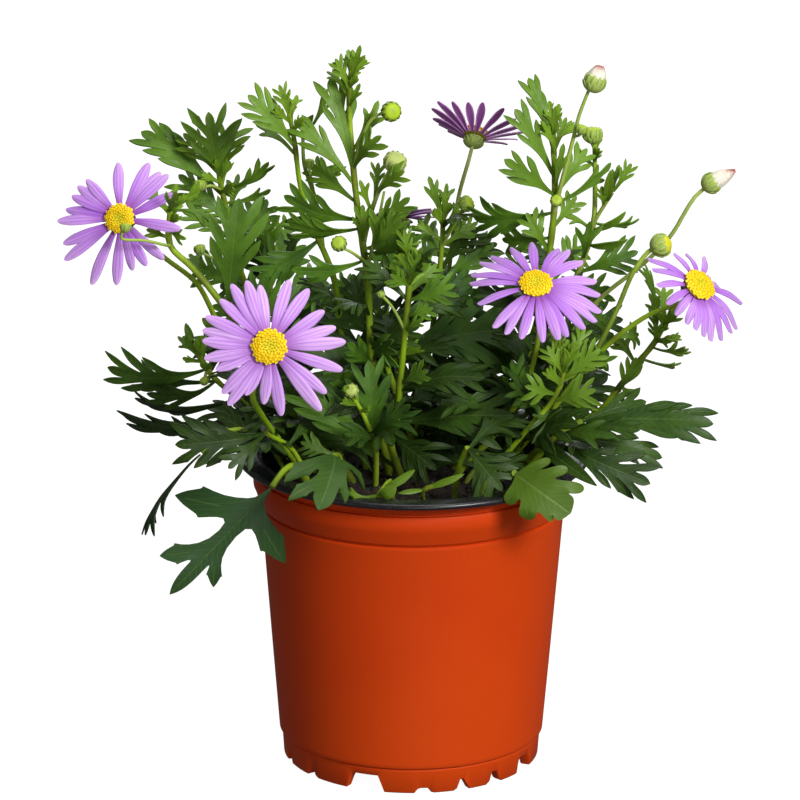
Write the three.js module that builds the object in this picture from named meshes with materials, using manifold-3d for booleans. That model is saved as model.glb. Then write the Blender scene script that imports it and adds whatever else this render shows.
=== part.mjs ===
import * as THREE from "three";
import { mergeVertices } from "three/addons/utils/BufferGeometryUtils.js";
import Module from "manifold-3d";

// A swan river daisy in a round plastic nursery pot. Millimetres, +Z up, standing on z = 0.

// Pot
const potHeight = 94.4;
const rimRadius = 52.5;
const flangeThickness = 1.2;
const neckRadius = 47.0;
const collarRadius = 47.6;
const collarTop = 89.8;
const grooveHeight = 79.0;
const grooveRadius = 45.4;
const footLine = 7.6;
const footLineRadius = 39.7;
const footRadius = 38.4;
const footWidth = 3.2;
const potWall = 1.0;
const floorTop = 6.6;
const floorThickness = 1.4;
const drainHoles = 4;
const drainRadius = 3.2;
const drainCircle = 25;
const potSides = 28;
// The pot's axis stands off the origin, which is under the middle of the whole plant.
const potAxis = new THREE.Vector2(4.4, 1.26);
// Gaps between the feet, one half turn of them: degrees from the front, half width in degrees, height
const footGaps = [
  [-71, 2.5, 3.0],
  [-50.5, 2.5, 3.2],
  [-21, 8, 5.0],
  [5.5, 3.5, 1.6],
  [23.5, 2.5, 3.4],
  [40.5, 3, 3.6],
  [62, 6, 4.4],
];

// Soil
const soilTop = 84;
const soilCrown = 1.4;
const stemDepth = 7;
const gap = 0.35;

// Leaves, petals and stems
const leafThickness = 0.7;
const petalThickness = 0.7;
const petalWidth = 3.6;
const petalRoot = 4.4;
const discRadius = 5.2;
const discHeight = 2.4;
const cupRadius = 4.4;
const cupDepth = 4.6;
const stemSides = 4;
const stepLength = 17;
const longLeaf = 34;
const shortLeaf = 17;
const rootInside = 0.5;
const rootHalf = 0.3;
const outOfStem = 0.25;
const leafSpace = 0.05;
const firstLobe = 0.3;
const lastLobe = 0.88;
const budStalk = 0.6;
const ripeHeight = 0.45;
const tipGap = 0.4;
const leafSeed = 1000;
const petalSeed = 101;

// The plant is laid out as it is seen from the front and a little above: across and rise are
// millimetres on a sheet that faces the viewer through the pot's axis, and depth is the distance
// behind that axis. seen() turns the three into a point of the model.
const viewRise = THREE.MathUtils.degToRad(17);
const viewDistance = 1634;
const aim = new THREE.Vector3(-3.9, 0, 110.2);
const aimOnSheet = new THREE.Vector2(-4.16, 104.1);
const toViewer = new THREE.Vector3(0, -Math.cos(viewRise), Math.sin(viewRise));
const sheetRight = new THREE.Vector3(1, 0, 0);
const sheetUp = new THREE.Vector3(0, Math.sin(viewRise), Math.cos(viewRise));
const viewer = aim.clone().addScaledVector(toViewer, viewDistance);

function seen(across, rise, depth) {
  const onSheet = aim.clone();
  onSheet.addScaledVector(sheetRight, across - aimOnSheet.x);
  onSheet.addScaledVector(sheetUp, rise - aimOnSheet.y);
  const reach = (depth - viewer.y) / (onSheet.y - viewer.y);
  return viewer.clone().lerp(onSheet, reach);
}

// Where a point of the model is seen on the sheet, and its depth
function onSheetAt(point) {
  const ray = point.clone().sub(viewer);
  ray.multiplyScalar(-viewDistance / ray.dot(toViewer)).add(viewer).sub(aim);
  return [ray.dot(sheetRight) + aimOnSheet.x, ray.dot(sheetUp) + aimOnSheet.y, point.y];
}

const facing = (right, up, near) =>
  new THREE.Vector3()
    .addScaledVector(sheetRight, right)
    .addScaledVector(sheetUp, up)
    .addScaledVector(toViewer, near)
    .normalize();

// A leaf: where it leaves the stem and where its tip is on the sheet, how far the tip is behind
// the stem, its width, its pairs of lobes, its turn about its own rib and how much it arches
const leaf = (root, tip, behind, width, pairs, turn = 0, arch = 0.1) => ({
  root, tip, behind, width, pairs, turn, arch,
});

// A round bud on the end of a stalk: its middle, radius and the way it points. A ripe bud is
// named, and its petals show as a tip of their own colour.
const bud = (at, radius, points = [0, 1, 0.3], ripe = "") => ({ at, radius, points, ripe });

const stems = {
  stem_tall: {
    soil: [-7, 6],
    girth: [1.6, 0.8],
    route: [[-11.5, 103, 2], [-13, 120, 0], [-14, 140, -2], [-17, 160, -2], [-19, 180, -1],
      [-19.8, 196, 0], [-19, 204, 1]],
    twigs: [
      { girth: [0.8, 0.6], route: [[-18.5, 172, -1], [-16, 182, -4], [-13, 187.5, -6], [-10, 189.3, -7]] },
      { girth: [0.9, 0.6], route: [[-15.5, 151, -2], [-13, 160, -6], [-10, 168, -8], [-7.5, 172.5, -9]] },
      { girth: [0.7, 0.5], route: [[-14, 143, -2], [-12, 152, -9], [-9.2, 166, -12]] },
      { girth: [0.7, 0.5], route: [[-14.5, 146, -2], [-19, 148, -12], [-22.3, 149.5, -15]] },
    ],
    buds: [bud([-7.2, 189.8, -8], 2.8, [0.5, 0, 1]), bud([-6, 175, -9], 3.2, [0.3, 1, 0.5]),
      bud([-22.6, 150.5, -16], 2.2, [-0.2, 0.3, 1])],
    leaves: [
      leaf([-20, 176], [-26, 199.5], 6, 13, 4, 10),
      leaf([-19.6, 178], [-11, 193], 5, 8, 1, 20),
      leaf([-19, 172], [-10.5, 182.5], -5, 9, 2, -30),
      leaf([-20, 168], [-36, 187], 8, 10, 3, 20),
      leaf([-18, 158], [-39, 164.5], -8, 14, 4, -35),
      leaf([-17.5, 156], [-38, 157], -3, 10, 3, -50),
      leaf([-15, 146], [-36.5, 142.5], -14, 9, 1, -35),
      leaf([-19.8, 196], [-24, 205.5], -3, 5, 2, 10),
      leaf([-19.8, 194], [-26.5, 201.5], 4, 4, 1, 50),
      leaf([-19.6, 198], [-18.8, 208], 3, 3.5, 1, 0),
      leaf([-19.2, 200], [-16.6, 209.4], -2, 4, 1, 10),
      leaf([-19.8, 190], [-16.6, 198], 4, 3.5, 1, 0),
      leaf([-12, 163], [-11, 174.6], 5, 5, 2, 0),
      leaf([-11.5, 165], [-3, 172.2], -5, 8, 2, -20),
      leaf([-13.8, 156], [-1.6, 164.2], -10, 8, 2, 20),
    ],
  },
  stem_upper_left: {
    soil: [-14, 12],
    girth: [1.5, 0.8],
    route: [[-20, 104, 10], [-21.5, 120, 9], [-24, 140, 8], [-30, 155, 6], [-34, 167, 4],
      [-36, 181, 2], [-37.8, 190, 1]],
    twigs: [
      { girth: [0.9, 0.6], route: [[-27, 149, 7], [-29.5, 163, 10], [-33, 174, 12], [-33.5, 184, 13]] },
      { girth: [0.6, 0.5], route: [[-30, 165, 10], [-31.5, 172.5, 6]] },
    ],
    buds: [bud([-31.6, 174.5, 6], 1.5, [-0.1, 1, 0.4])],
    leaves: [
      leaf([-36, 179], [-50, 194.5], -4, 12, 3, 15),
      leaf([-36, 176], [-47.5, 185.5], 6, 6, 1, 40),
      leaf([-37.6, 188], [-40.6, 197.6], -2, 6, 2, 0),
      leaf([-37.5, 187], [-35.2, 194.5], 3, 4, 1, 0),
      leaf([-33.4, 182], [-26.5, 196.5], 7, 6, 2, 60),
      leaf([-33, 174], [-22, 171], 4, 9, 3, 40),
      leaf([-28, 152], [-47, 140], -6, 12, 3, -20),
    ],
  },
  stem_left_fan: {
    soil: [-21, 18],
    girth: [1.5, 0.9],
    route: [[-36, 106, 24], [-46, 128, 26], [-53, 146, 24], [-56, 160, 22], [-57.8, 168, 20],
      [-58.6, 173, 18]],
    twigs: [
      { girth: [0.6, 0.5], route: [[-57.5, 166, 20], [-61, 167.5, 17], [-63.5, 166.5, 15]] },
      { girth: [0.6, 0.5], route: [[-53, 143, 24], [-60, 146, 18], [-63.5, 147.5, 14]] },
    ],
    buds: [bud([-64, 167.8, 14], 1.9, [0, 1, 0.2]), bud([-64, 148.7, 13], 1.7, [-0.3, 1, 0.4])],
    leaves: [
      leaf([-58, 169], [-61.6, 189.6], -4, 17, 4, 0),
      leaf([-57.8, 168], [-54, 185.5], 6, 14, 3, -20),
      leaf([-58.2, 170], [-69, 183], 3, 9, 3, 10),
      leaf([-57, 165], [-81.5, 183.5], 8, 12, 3, 20, 0.14),
      leaf([-57.4, 167], [-43.5, 174.5], -6, 7, 2, 60),
      leaf([-56.5, 163], [-43, 166.5], 6, 5, 1, 40),
      leaf([-55.5, 158], [-52.5, 171], 9, 7, 1, 0),
      leaf([-55, 156], [-70.5, 170.5], 4, 13, 3, 20),
      leaf([-53, 146], [-44, 163.5], 12, 13, 3, 10),
      leaf([-50, 138], [-66, 144], 8, 12, 3, 0),
    ],
  },
  stem_left_shoot: {
    soil: [-18, -1],
    girth: [1.6, 1.0],
    route: [[-31, 93, -4], [-40, 106, -9], [-50, 121, -13], [-57, 132, -14], [-66, 143, -12],
      [-72.6, 149.5, -10], [-73, 157, -9], [-72, 163, -9]],
    twigs: [
      { girth: [0.6, 0.5], route: [[-72, 149, -10], [-74.5, 149.8, -20], [-80, 151, -22.5],
        [-87.2, 151.6, -24], [-87, 153.2, -24.6]] },
    ],
    buds: [bud([-86, 155, -24.5], 1.6, [0.1, 1, 0.2])],
    leaves: [
      leaf([-72, 161], [-81.2, 165.6], -8, 10, 2, 20),
      leaf([-72.2, 160], [-57.5, 156], -5, 7, 2, -50),
      leaf([-72.6, 159], [-71, 165.5], -7, 5, 1, 0),
      leaf([-73, 153], [-79.8, 154.4], -9, 5, 2, 0),
      leaf([-63, 140], [-67, 147], 10, 6, 1, 20),
      leaf([-55, 129], [-52.4, 163.5], -6, 19, 4, 0, 0.06),
      leaf([-50, 121], [-44.5, 141.5], -16, 11, 3, 20),
    ],
  },
  stalk_left_flower: {
    soil: [-24, 10],
    girth: [1.2, 0.8],
    route: [[-38, 100, 6], [-50, 114, 0], [-57, 123, -3], [-60.5, 131, -4], [-65, 138.7, -5],
      [-75, 146.5, -6]],
    bloom: "left",
    leaves: [],
  },
  stalk_front_flower: {
    soil: [-31, -4],
    girth: [1.3, 0.9],
    route: [[-40, 92, -12], [-45, 99, -22], [-48, 106, -33]],
    bloom: "front",
    leaves: [],
  },
  stem_low_left: {
    soil: [-30, 10],
    girth: [1.3, 0.8],
    route: [[-42, 96, 10], [-52, 104, 8], [-60, 111, 4], [-65.5, 119, 2]],
    buds: [bud([-62.4, 109.4, -3], 1.3, [-0.4, 0.6, 0.6])],
    leaves: [
      leaf([-62, 114], [-91, 113], -8, 13, 3, -35, 0.16),
      leaf([-58, 109.5], [-80.5, 112], 4, 9, 2, -50),
      leaf([-59, 110], [-79.5, 105.6], -4, 8, 2, -40, 0.2),
      leaf([-52, 104], [-83, 104], 12, 7, 2, -60),
      leaf([-47, 100], [-86.5, 98.6], 6, 8, 2, -55),
      leaf([-44, 97.5], [-70.5, 93.6], -2, 11, 3, -40),
      leaf([-64.5, 118], [-70.3, 122.6], -3, 5, 1, 0),
      leaf([-65, 118.6], [-68, 126.6], 3, 2.5, 0, 0),
    ],
  },
  leaf_front_left: {
    soil: [-30, -15],
    girth: [1.1, 0.8],
    route: [[-36, 89, -22], [-44, 94, -30]],
    leaves: [
      leaf([-43.5, 93.8], [-71, 90.5], -8, 19, 4, -10, 0.12),
      leaf([-43.5, 93.8], [-55, 83.5], -13, 9, 2, 0),
    ],
  },
  leaf_edge_left: {
    soil: [-37, -2],
    girth: [1.0, 0.8],
    route: [[-44, 92, -4], [-50, 95, -6], [-57, 94, -8], [-63, 88, -10]],
    leaves: [
      leaf([-62, 88.4], [-79.6, 63.5], -6, 9, 2, 72, 0.06),
    ],
  },
  leaf_drooping_left: {
    soil: [-30, -22],
    girth: [1.3, 1.0],
    route: [[-35, 84.4, -31], [-39, 82.5, -38], [-42, 78, -42]],
    leaves: [
      leaf([-41.5, 79], [-72.2, 46], -6, 9, "drooping", 0, 0.06),
    ],
  },
  leaf_over_rim_front: {
    soil: [-20, -22],
    girth: [1.1, 0.9],
    route: [[-22, 87, -34], [-23.5, 87.5, -42]],
    leaves: [
      leaf([-23.5, 87.4], [-28.4, 71], -14, 27, "broad", -10, 0.14),
      leaf([-22.8, 87.2], [-33.6, 91.4], 2, 8, 3, 0),
    ],
  },
  leaf_curled: {
    soil: [-6, -30],
    girth: [1.0, 0.8],
    route: [[-6.5, 79.5, -38]],
    leaves: [
      leaf([-6.5, 79.3], [-20, 77.2], -11, 6, 1, 30, -0.3),
      leaf([-6.3, 79], [0.3, 83.4], -2, 3.6, 0, 20),
    ],
  },
  leaf_yellow_strap: {
    soil: [4, -30],
    girth: [0.9, 0.8],
    route: [[3, 77.4, -40], [6, 78.6, -41]],
    leaves: [
      leaf([5, 78.4], [15, 82.6], -1, 3.4, 1, 10),
      leaf([3.2, 77.6], [-4.6, 76.4], -2, 2.6, 0, 0),
    ],
  },
  stem_front_bud: {
    soil: [-11, -8],
    girth: [1.2, 0.7],
    route: [[-11.5, 90, -14], [-15, 99.6, -20], [-18.3, 105, -24]],
    buds: [bud([-18.6, 106.8, -25], 2.0, [-0.2, 0.3, 1])],
    leaves: [
      leaf([-11.6, 90], [-13.6, 115.6], -10, 13, 3, 0),
      leaf([-13, 95], [-1.2, 102.6], -14, 8, 3, 0),
      leaf([-11.3, 88], [-35, 109], -6, 14, 3, 0),
      leaf([-12, 92], [-21, 94], -16, 8, 2, 20),
    ],
  },
  stem_centre: {
    soil: [-3, -2],
    girth: [1.5, 0.9],
    route: [[-7, 92, -4], [-5, 99, -7], [-4.4, 107, -10], [-3.4, 118, -13], [-2.4, 129, -15],
      [-1.6, 140, -16], [-2, 147, -15]],
    twigs: [
      { girth: [0.6, 0.5], route: [[-3, 124, -14], [-6.5, 131.5, -17], [-9.6, 135, -19]] },
    ],
    buds: [bud([-10, 135.6, -19.5], 1.2, [-0.3, 1, 0.3])],
    leaves: [
      leaf([-1.8, 137], [-7.4, 141.4], -8, 7, 2, 0),
      leaf([-1.7, 138], [1.4, 147.4], -8, 9, 2, 0),
      leaf([-1.9, 136], [6.6, 144.6], 4, 9, 3, 0),
      leaf([-2, 134], [12, 138.4], -6, 10, 3, 0),
      leaf([-1.9, 145], [-3.2, 154.8], -3, 5, 2, 0),
      leaf([-5.6, 97], [29.6, 99.6], -14, 17, 4, -15, 0.08),
      leaf([-6.6, 93], [6.8, 83.4], -16, 15, 3, 0),
    ],
  },
  stem_dark_centre: {
    soil: [1, 6],
    girth: [1.5, 1.0],
    route: [[-2, 98, 6], [-6, 108, 6], [-9, 118, 6], [-9, 126, 6]],
    leaves: [
      leaf([-9, 119], [30, 125.4], 4, 24, 4, -20, 0.1),
      leaf([-6, 108], [27, 105], 0, 11, 3, -25, 0.1),
      leaf([-5, 105], [21, 116], 10, 10, 3, 0, 0.1),
      leaf([-3, 99], [33, 94], -4, 14, 3, -25, 0.1),
      leaf([-9, 125], [18, 140], 14, 12, 3, 0, 0.1),
    ],
  },
  stalk_top_flower: {
    soil: [4, 18],
    girth: [1.1, 0.7],
    route: [[7, 108, 26], [9, 125, 28], [10, 140, 28], [11.5, 155, 28], [13, 165, 27]],
    bloom: "top",
    leaves: [],
  },
  stem_back_centre: {
    soil: [0, 13],
    girth: [1.4, 0.8],
    route: [[3, 110, 19], [6, 130, 21], [8, 150, 20], [8.4, 160, 19]],
    twigs: [
      { girth: [0.6, 0.5], route: [[8, 150, 20], [11.5, 156, 15], [14, 160.5, 13]] },
    ],
    buds: [bud([15.4, 162.6, 12], 2.3, [0.7, 0.4, 0.5])],
    leaves: [
      leaf([8.4, 157], [4, 170.6], -3, 5, 1, 0),
      leaf([8.4, 158], [9.4, 168.6], 4, 5, 1, 0),
      leaf([8.3, 156], [13.4, 163.4], 5, 4, 1, 30),
      leaf([8, 150], [18.6, 157], 4, 8, 3, 0),
      leaf([7, 140], [23.5, 151], 4, 12, 3, 0),
    ],
  },
  stalk_centre_flower: {
    soil: [11, -6],
    girth: [1.2, 0.8],
    route: [[24, 94, -10], [32, 106, -14], [36, 118, -17], [37, 127, -19]],
    bloom: "centre",
    leaves: [
      leaf([31, 104], [29, 116], -8, 8, 2, 0),
    ],
  },
  stem_right_tall: {
    soil: [12, 8],
    girth: [1.6, 0.9],
    route: [[24, 98, 8], [32, 114, 6], [37, 130, 4], [40.2, 150, 1], [41.5, 165, 0],
      [41, 180, 0], [40.6, 188, 1]],
    twigs: [
      { girth: [0.9, 0.6], route: [[41, 160, 0], [44, 171, -4], [46.6, 181, -6], [48.6, 189, -6],
        [51.2, 196, -6]] },
      { girth: [0.6, 0.5], route: [[47, 182, -6], [48.6, 183, -8]] },
    ],
    buds: [bud([53.4, 199.6, -6], 3.2, [0.35, 1, 0.2], "tall"), bud([49.3, 185, -9], 1.7, [0.3, 1, 0.4]),
      bud([42, 163.6, -5], 1.8, [0, 0.4, 1])],
    leaves: [
      leaf([40.8, 180], [33.4, 200], 5, 9, 3, 20),
      leaf([40.6, 184], [41.4, 191.6], -2, 4.5, 1, 0),
      leaf([41, 177], [44.8, 188.4], 4, 5, 2, 0),
      leaf([41.2, 171], [29.4, 190.8], -4, 11, 3, 10),
      leaf([41.4, 165], [26.4, 175.8], -8, 12, 3, 0),
      leaf([41.4, 167], [51, 178.2], 6, 11, 3, 0),
      leaf([41.4, 163], [58, 175], 10, 8, 2, 40),
      leaf([41.2, 160], [17.4, 158.4], 10, 12, 3, -30),
    ],
  },
  stem_right_bud: {
    soil: [18, 16],
    girth: [1.4, 0.8],
    route: [[34, 112, 18], [44, 132, 17], [50, 146, 15], [53, 157, 14], [53.4, 170, 13],
      [53.2, 180.5, 13]],
    twigs: [
      { girth: [0.8, 0.6], route: [[53, 156, 14], [56, 162, 12], [58.6, 166, 11]] },
    ],
    buds: [bud([52.6, 183.6, 12.4], 2.8, [0, 1, 0.3])],
    leaves: [
      leaf([57, 163.6], [58, 172.8], -3, 3, 0, 0),
      leaf([58, 165], [60.6, 174.4], 3, 4, 1, 0),
      leaf([58.4, 165.6], [64.2, 174.8], -2, 5, 2, 10),
      leaf([53, 156], [66.6, 158.4], 6, 5, 1, 60),
      leaf([52.8, 155], [62.6, 160.4], -4, 3, 0, 50),
      leaf([51.6, 151], [63.2, 152.2], -5, 3, 0, 50),
      leaf([52.6, 154], [44.4, 159], -3, 4, 1, 50),
      leaf([48.6, 143], [66.4, 148.6], -6, 12, 3, 0),
    ],
  },
  stalk_cup_bud: {
    soil: [16, -1],
    girth: [1.1, 0.8],
    route: [[36, 98, -1], [47, 109, -2], [55, 121, -4], [60, 131, -6], [65, 142.6, -8],
      [69.4, 148.6, -8], [71.4, 149.8, -8]],
    buds: [bud([73.4, 150.6, -8], 3.3, [0.9, 0.3, 0.5], "cup")],
    leaves: [],
  },
  stalk_pink_bud: {
    soil: [23, 9],
    girth: [1.0, 0.7],
    route: [[40, 110, 9], [48, 126, 9], [56, 135.4, 7], [66, 143.4, 4], [73, 149.8, 2], [77, 154.8, 0],
      [80.2, 160.4, -2], [83, 164.8, -3], [85.8, 167.4, -3]],
    buds: [bud([88.2, 169.2, -3], 3.0, [0.9, 0.5, 0.2], "pink")],
    leaves: [],
  },
  stalk_right_flower: {
    soil: [24, -5],
    girth: [1.2, 0.8],
    route: [[40, 100, -8], [50, 113, -12], [60, 123, -15], [70, 130, -18]],
    bloom: "right",
    leaves: [
      leaf([60, 123], [66.6, 124], 6, 8, 2, 0),
    ],
  },
  stem_right_shoot: {
    soil: [30, 5],
    girth: [1.5, 0.9],
    route: [[47, 97, 5], [55, 101, 4], [60, 107, 4], [66, 115, 4], [71.6, 122, 4], [75, 129, 3]],
    leaves: [
      leaf([70, 120], [81.6, 119.8], -4, 6, 2, 60),
      leaf([68, 117.5], [79.4, 115.4], 4, 4, 1, 60),
      leaf([72, 122.6], [76.6, 122], -6, 4, 1, 0),
      leaf([74, 127], [79.4, 131.4], -4, 5, 1, 0),
      leaf([71.6, 122], [71.6, 127.4], -5, 5, 2, 0),
      leaf([73.6, 126], [69.6, 136.4], -5, 5, 1, 0),
      leaf([73.8, 126.6], [74, 138], 8, 7, 2, 0),
      leaf([71.4, 121.8], [67.6, 143.8], 3, 6, 3, 75),
      leaf([60, 107], [66, 117], -10, 7, 2, 20),
    ],
  },
  stem_light_shoot: {
    soil: [20, -12],
    girth: [1.2, 0.8],
    route: [[34, 96, -16], [41, 104, -19], [44.4, 112, -21], [45, 117, -21]],
    leaves: [
      leaf([44.6, 113], [39.4, 120.6], -2, 7, 3, 0),
      leaf([44.8, 114], [42, 124.8], 4, 5, 2, 0),
      leaf([44.8, 114], [50.6, 126], 3, 6, 2, 20),
      leaf([44, 111], [39.4, 113.4], -4, 4, 1, 0),
      leaf([43.6, 110], [55.4, 119.6], -2, 10, 3, 0),
      leaf([41, 104], [54, 107.4], -6, 12, 3, 0),
    ],
  },
  stem_low_right: {
    soil: [30, -10],
    girth: [1.5, 1.1],
    route: [[39, 90, -14], [44, 95, -15], [50, 98, -14]],
    leaves: [
      leaf([50, 98], [89, 97.4], -6, 16, 4, -25, 0.08),
      leaf([48, 97], [69, 104], 8, 10, 2, -20),
      leaf([43, 94], [60, 93.4], -14, 9, 1, -20, 0.16),
      leaf([46, 96], [67.4, 95.4], -18, 7, 2, -20),
      leaf([41, 92], [70.4, 79.6], -10, 17, 3, 0, 0.12),
      leaf([43, 94], [73.8, 87.4], -4, 9, 2, -20, 0.12),
      leaf([39, 90], [54.6, 78.8], -24, 5, 0, 0, 0.2),
    ],
  },
  leaf_rim_right: {
    soil: [22, -24],
    girth: [1.2, 1.0],
    route: [[27, 82.5, -35], [30, 82.6, -42]],
    leaves: [
      leaf([29.6, 82.6], [48.8, 73.6], -8, 21, "fan", 0, 0.16),
    ],
  },
  leaf_rim_front_right: {
    soil: [12, -24],
    girth: [1.1, 0.9],
    route: [[14, 86, -30], [16, 90, -33]],
    leaves: [
      leaf([15.6, 89.2], [26.4, 77.4], -10, 17, 3, 0, 0.16),
      leaf([15.8, 89.6], [33, 84.2], 0, 8, 2, 0, 0.2),
    ],
  },
  stalk_back_flower: {
    soil: [-12, 24],
    girth: [1.1, 0.7],
    route: [[-14, 112, 32], [-13, 128, 35], [-11, 143, 36]],
    bloom: "back",
    leaves: [],
  },
  stem_back_left: {
    soil: [-26, 26],
    girth: [1.5, 0.9],
    route: [[-34, 106, 36], [-40, 122, 44], [-43, 138, 48], [-43, 148, 50]],
    leaves: [
      leaf([-43, 145], [-52, 153], 6, 13, 3, 0),
      leaf([-43, 146], [-36, 157], 8, 12, 3, 0),
      leaf([-42, 134], [-58, 138], 14, 14, 3, 0),
      leaf([-34, 106], [-54, 104], 22, 15, 4, 0),
    ],
  },
  stem_back_middle: {
    soil: [2, 30],
    girth: [1.5, 0.9],
    route: [[2, 106, 42], [-1, 122, 50], [-2, 136, 54], [-1, 146, 55]],
    leaves: [
      leaf([-1, 143], [-12, 152], 6, 13, 3, 0),
      leaf([-1, 144], [9, 153], 8, 12, 3, 0),
      leaf([-1.6, 133], [14, 140], 14, 14, 3, 0),
      leaf([0, 120], [18, 122], 16, 15, 4, 0),
    ],
  },
  stem_back_right: {
    soil: [24, 24],
    girth: [1.5, 0.9],
    route: [[32, 106, 34], [38, 122, 42], [40, 136, 46], [40, 146, 47]],
    leaves: [
      leaf([40, 143], [50, 150], 6, 13, 3, 0),
      leaf([40, 144], [32, 154], 8, 12, 3, 0),
      leaf([39.6, 132], [55, 134], 14, 14, 3, 0),
      leaf([37, 119], [58, 118], 14, 16, 4, 0),
      leaf([32, 106], [54, 106], 18, 16, 4, 0),
    ],
  },
};

// The flowers: middle of the disc, the way it faces, how the petals rise and then sag over their
// length, and each petal's direction as seen, in degrees from the right, with its length
const blooms = {
  left: {
    at: [-87.5, 157.4, -14],
    faces: [-0.16, 0.12, 1],
    rise: 0.08,
    sag: 0.16,
    petals: [[95, 17], [63, 18.5], [54, 18], [44, 19], [24, 17], [352, 18], [316, 17.5], [299, 16],
      [286, 15.5], [268, 19.5], [244, 21], [217, 20.5], [205, 18.6], [181, 19], [168, 17], [153, 16.5],
      [143, 16.6], [131, 16]],
  },
  front: {
    at: [-43, 119.6, -50],
    faces: [0.02, 0.1, 1],
    rise: 0.06,
    sag: 0.14,
    petals: [[76, 20.5], [58, 20.5], [32, 19], [17, 20], [3, 22], [343, 22], [322, 21], [310, 23.5],
      [281, 20], [266, 16.5], [245, 15.5], [235, 20.5], [222, 19], [204, 16.8], [191, 19], [177, 19.4],
      [165, 20], [153, 20.5], [135, 20], [123, 21.5], [111, 20.5], [99, 18.4]],
  },
  centre: {
    at: [36, 138.2, -26],
    faces: [0.02, 0.62, 0.8],
    rise: 0.04,
    sag: 0.22,
    petals: [[93, 19], [62, 19], [50, 19], [37, 19], [12, 18.5], [1, 19], [347, 20], [339, 20],
      [325, 19], [308, 18.6], [297, 19], [278, 18], [255, 18], [234, 18], [222, 18.5], [192, 17.5],
      [171, 19.5], [161, 20], [149, 20], [137, 19], [116, 19]],
  },
  right: {
    at: [84, 138.2, -24],
    faces: [0.45, 0.4, 0.8],
    rise: 0.0,
    sag: 0.42,
    petals: [[68, 17], [84, 17], [40, 16], [20, 16], [352, 18], [335, 19], [318, 19], [300, 18.5],
      [288, 18.5], [276, 18], [262, 17.5], [240, 16], [205, 16], [178, 17], [158, 19], [146, 19],
      [128, 18]],
  },
  top: {
    at: [17.6, 182.6, 25],
    faces: [0.22, 0.9, -0.36],
    rise: 0.56,
    sag: 0.14,
    spread: 16,
    length: 16.5,
  },
  back: {
    at: [-7.6, 158.6, 38],
    faces: [0.04, 0.96, 0.06],
    rise: 0.12,
    sag: 0.12,
    spread: 16,
    length: 17.5,
  },
};

const colours = {
  pot: { color: 0xc8440f, roughness: 0.5, metalness: 0 },
  soil: { color: 0x2a1c12, roughness: 0.95, metalness: 0 },
  foliage: { color: 0x4b6e2f, roughness: 0.6, metalness: 0 },
  petal: { color: 0xc79af0, roughness: 0.6, metalness: 0 },
  disc: { color: 0xf2c90a, roughness: 0.75, metalness: 0 },
  budTip: { color: 0xe8c6c0, roughness: 0.6, metalness: 0 },
};

const wasm = await Module();
wasm.setup();
const { Manifold } = wasm;

// Small seeded generator, so that every build draws the same petals and lobes
function draws(seed) {
  let state = seed;
  return () => {
    state = (state * 48271) % 2147483647;
    return state / 2147483647;
  };
}

// Geometry to solid and back
function solid(geometry) {
  const bare = new THREE.BufferGeometry();
  bare.setAttribute("position", geometry.getAttribute("position"));
  if (geometry.index) bare.setIndex(geometry.index);
  const merged = mergeVertices(bare, 1e-4);
  return new Manifold(
    new wasm.Mesh({
      numProp: 3,
      vertProperties: merged.attributes.position.array,
      triVerts: new Uint32Array(merged.index.array),
    }),
  );
}

function geometryOf(body) {
  const mesh = body.getMesh();
  const geometry = new THREE.BufferGeometry();
  geometry.setAttribute("position", new THREE.BufferAttribute(mesh.vertProperties, 3));
  geometry.setIndex(new THREE.BufferAttribute(mesh.triVerts, 1));
  geometry.computeVertexNormals();
  return geometry;
}

// Joined solids as one body, without the hollows that they enclose
function fused(bodies) {
  const parts = Manifold.union(bodies).decompose();
  return parts.reduce((best, part) => (part.volume() > best.volume() ? part : best));
}

function indexed(points, triangles) {
  const geometry = new THREE.BufferGeometry();
  geometry.setAttribute(
    "position",
    new THREE.Float32BufferAttribute(points.flatMap((p) => [p.x, p.y, p.z]), 3),
  );
  geometry.setIndex(triangles.flat());
  return geometry;
}

// A thin blade: the same triangles on both faces, and a wall round its outline
function blade(middle, normals, triangles, thickness) {
  const count = middle.length;
  const points = [];
  for (const side of [0.5, -0.5])
    middle.forEach((p, i) => points.push(p.clone().addScaledVector(normals[i], side * thickness)));
  const faces = triangles.map((t) => [...t]);
  triangles.forEach(([a, b, c]) => faces.push([c + count, b + count, a + count]));
  const edges = new Set(triangles.flatMap(([a, b, c]) => [`${a},${b}`, `${b},${c}`, `${c},${a}`]));
  for (const edge of edges) {
    const [a, b] = edge.split(",").map(Number);
    if (edges.has(`${b},${a}`)) continue;
    faces.push([b, a, a + count], [b, a + count, b + count]);
  }
  return indexed(points, faces);
}

// A tapered stem through points, with closed ends
const stepsOf = (curve) => Math.max(1, Math.round(curve.getLength() / stepLength));

function centreLine(path) {
  const curve = new THREE.CatmullRomCurve3(path);
  const steps = stepsOf(curve);
  return Array.from({ length: steps + 1 }, (_, i) => curve.getPointAt(i / steps));
}

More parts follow.
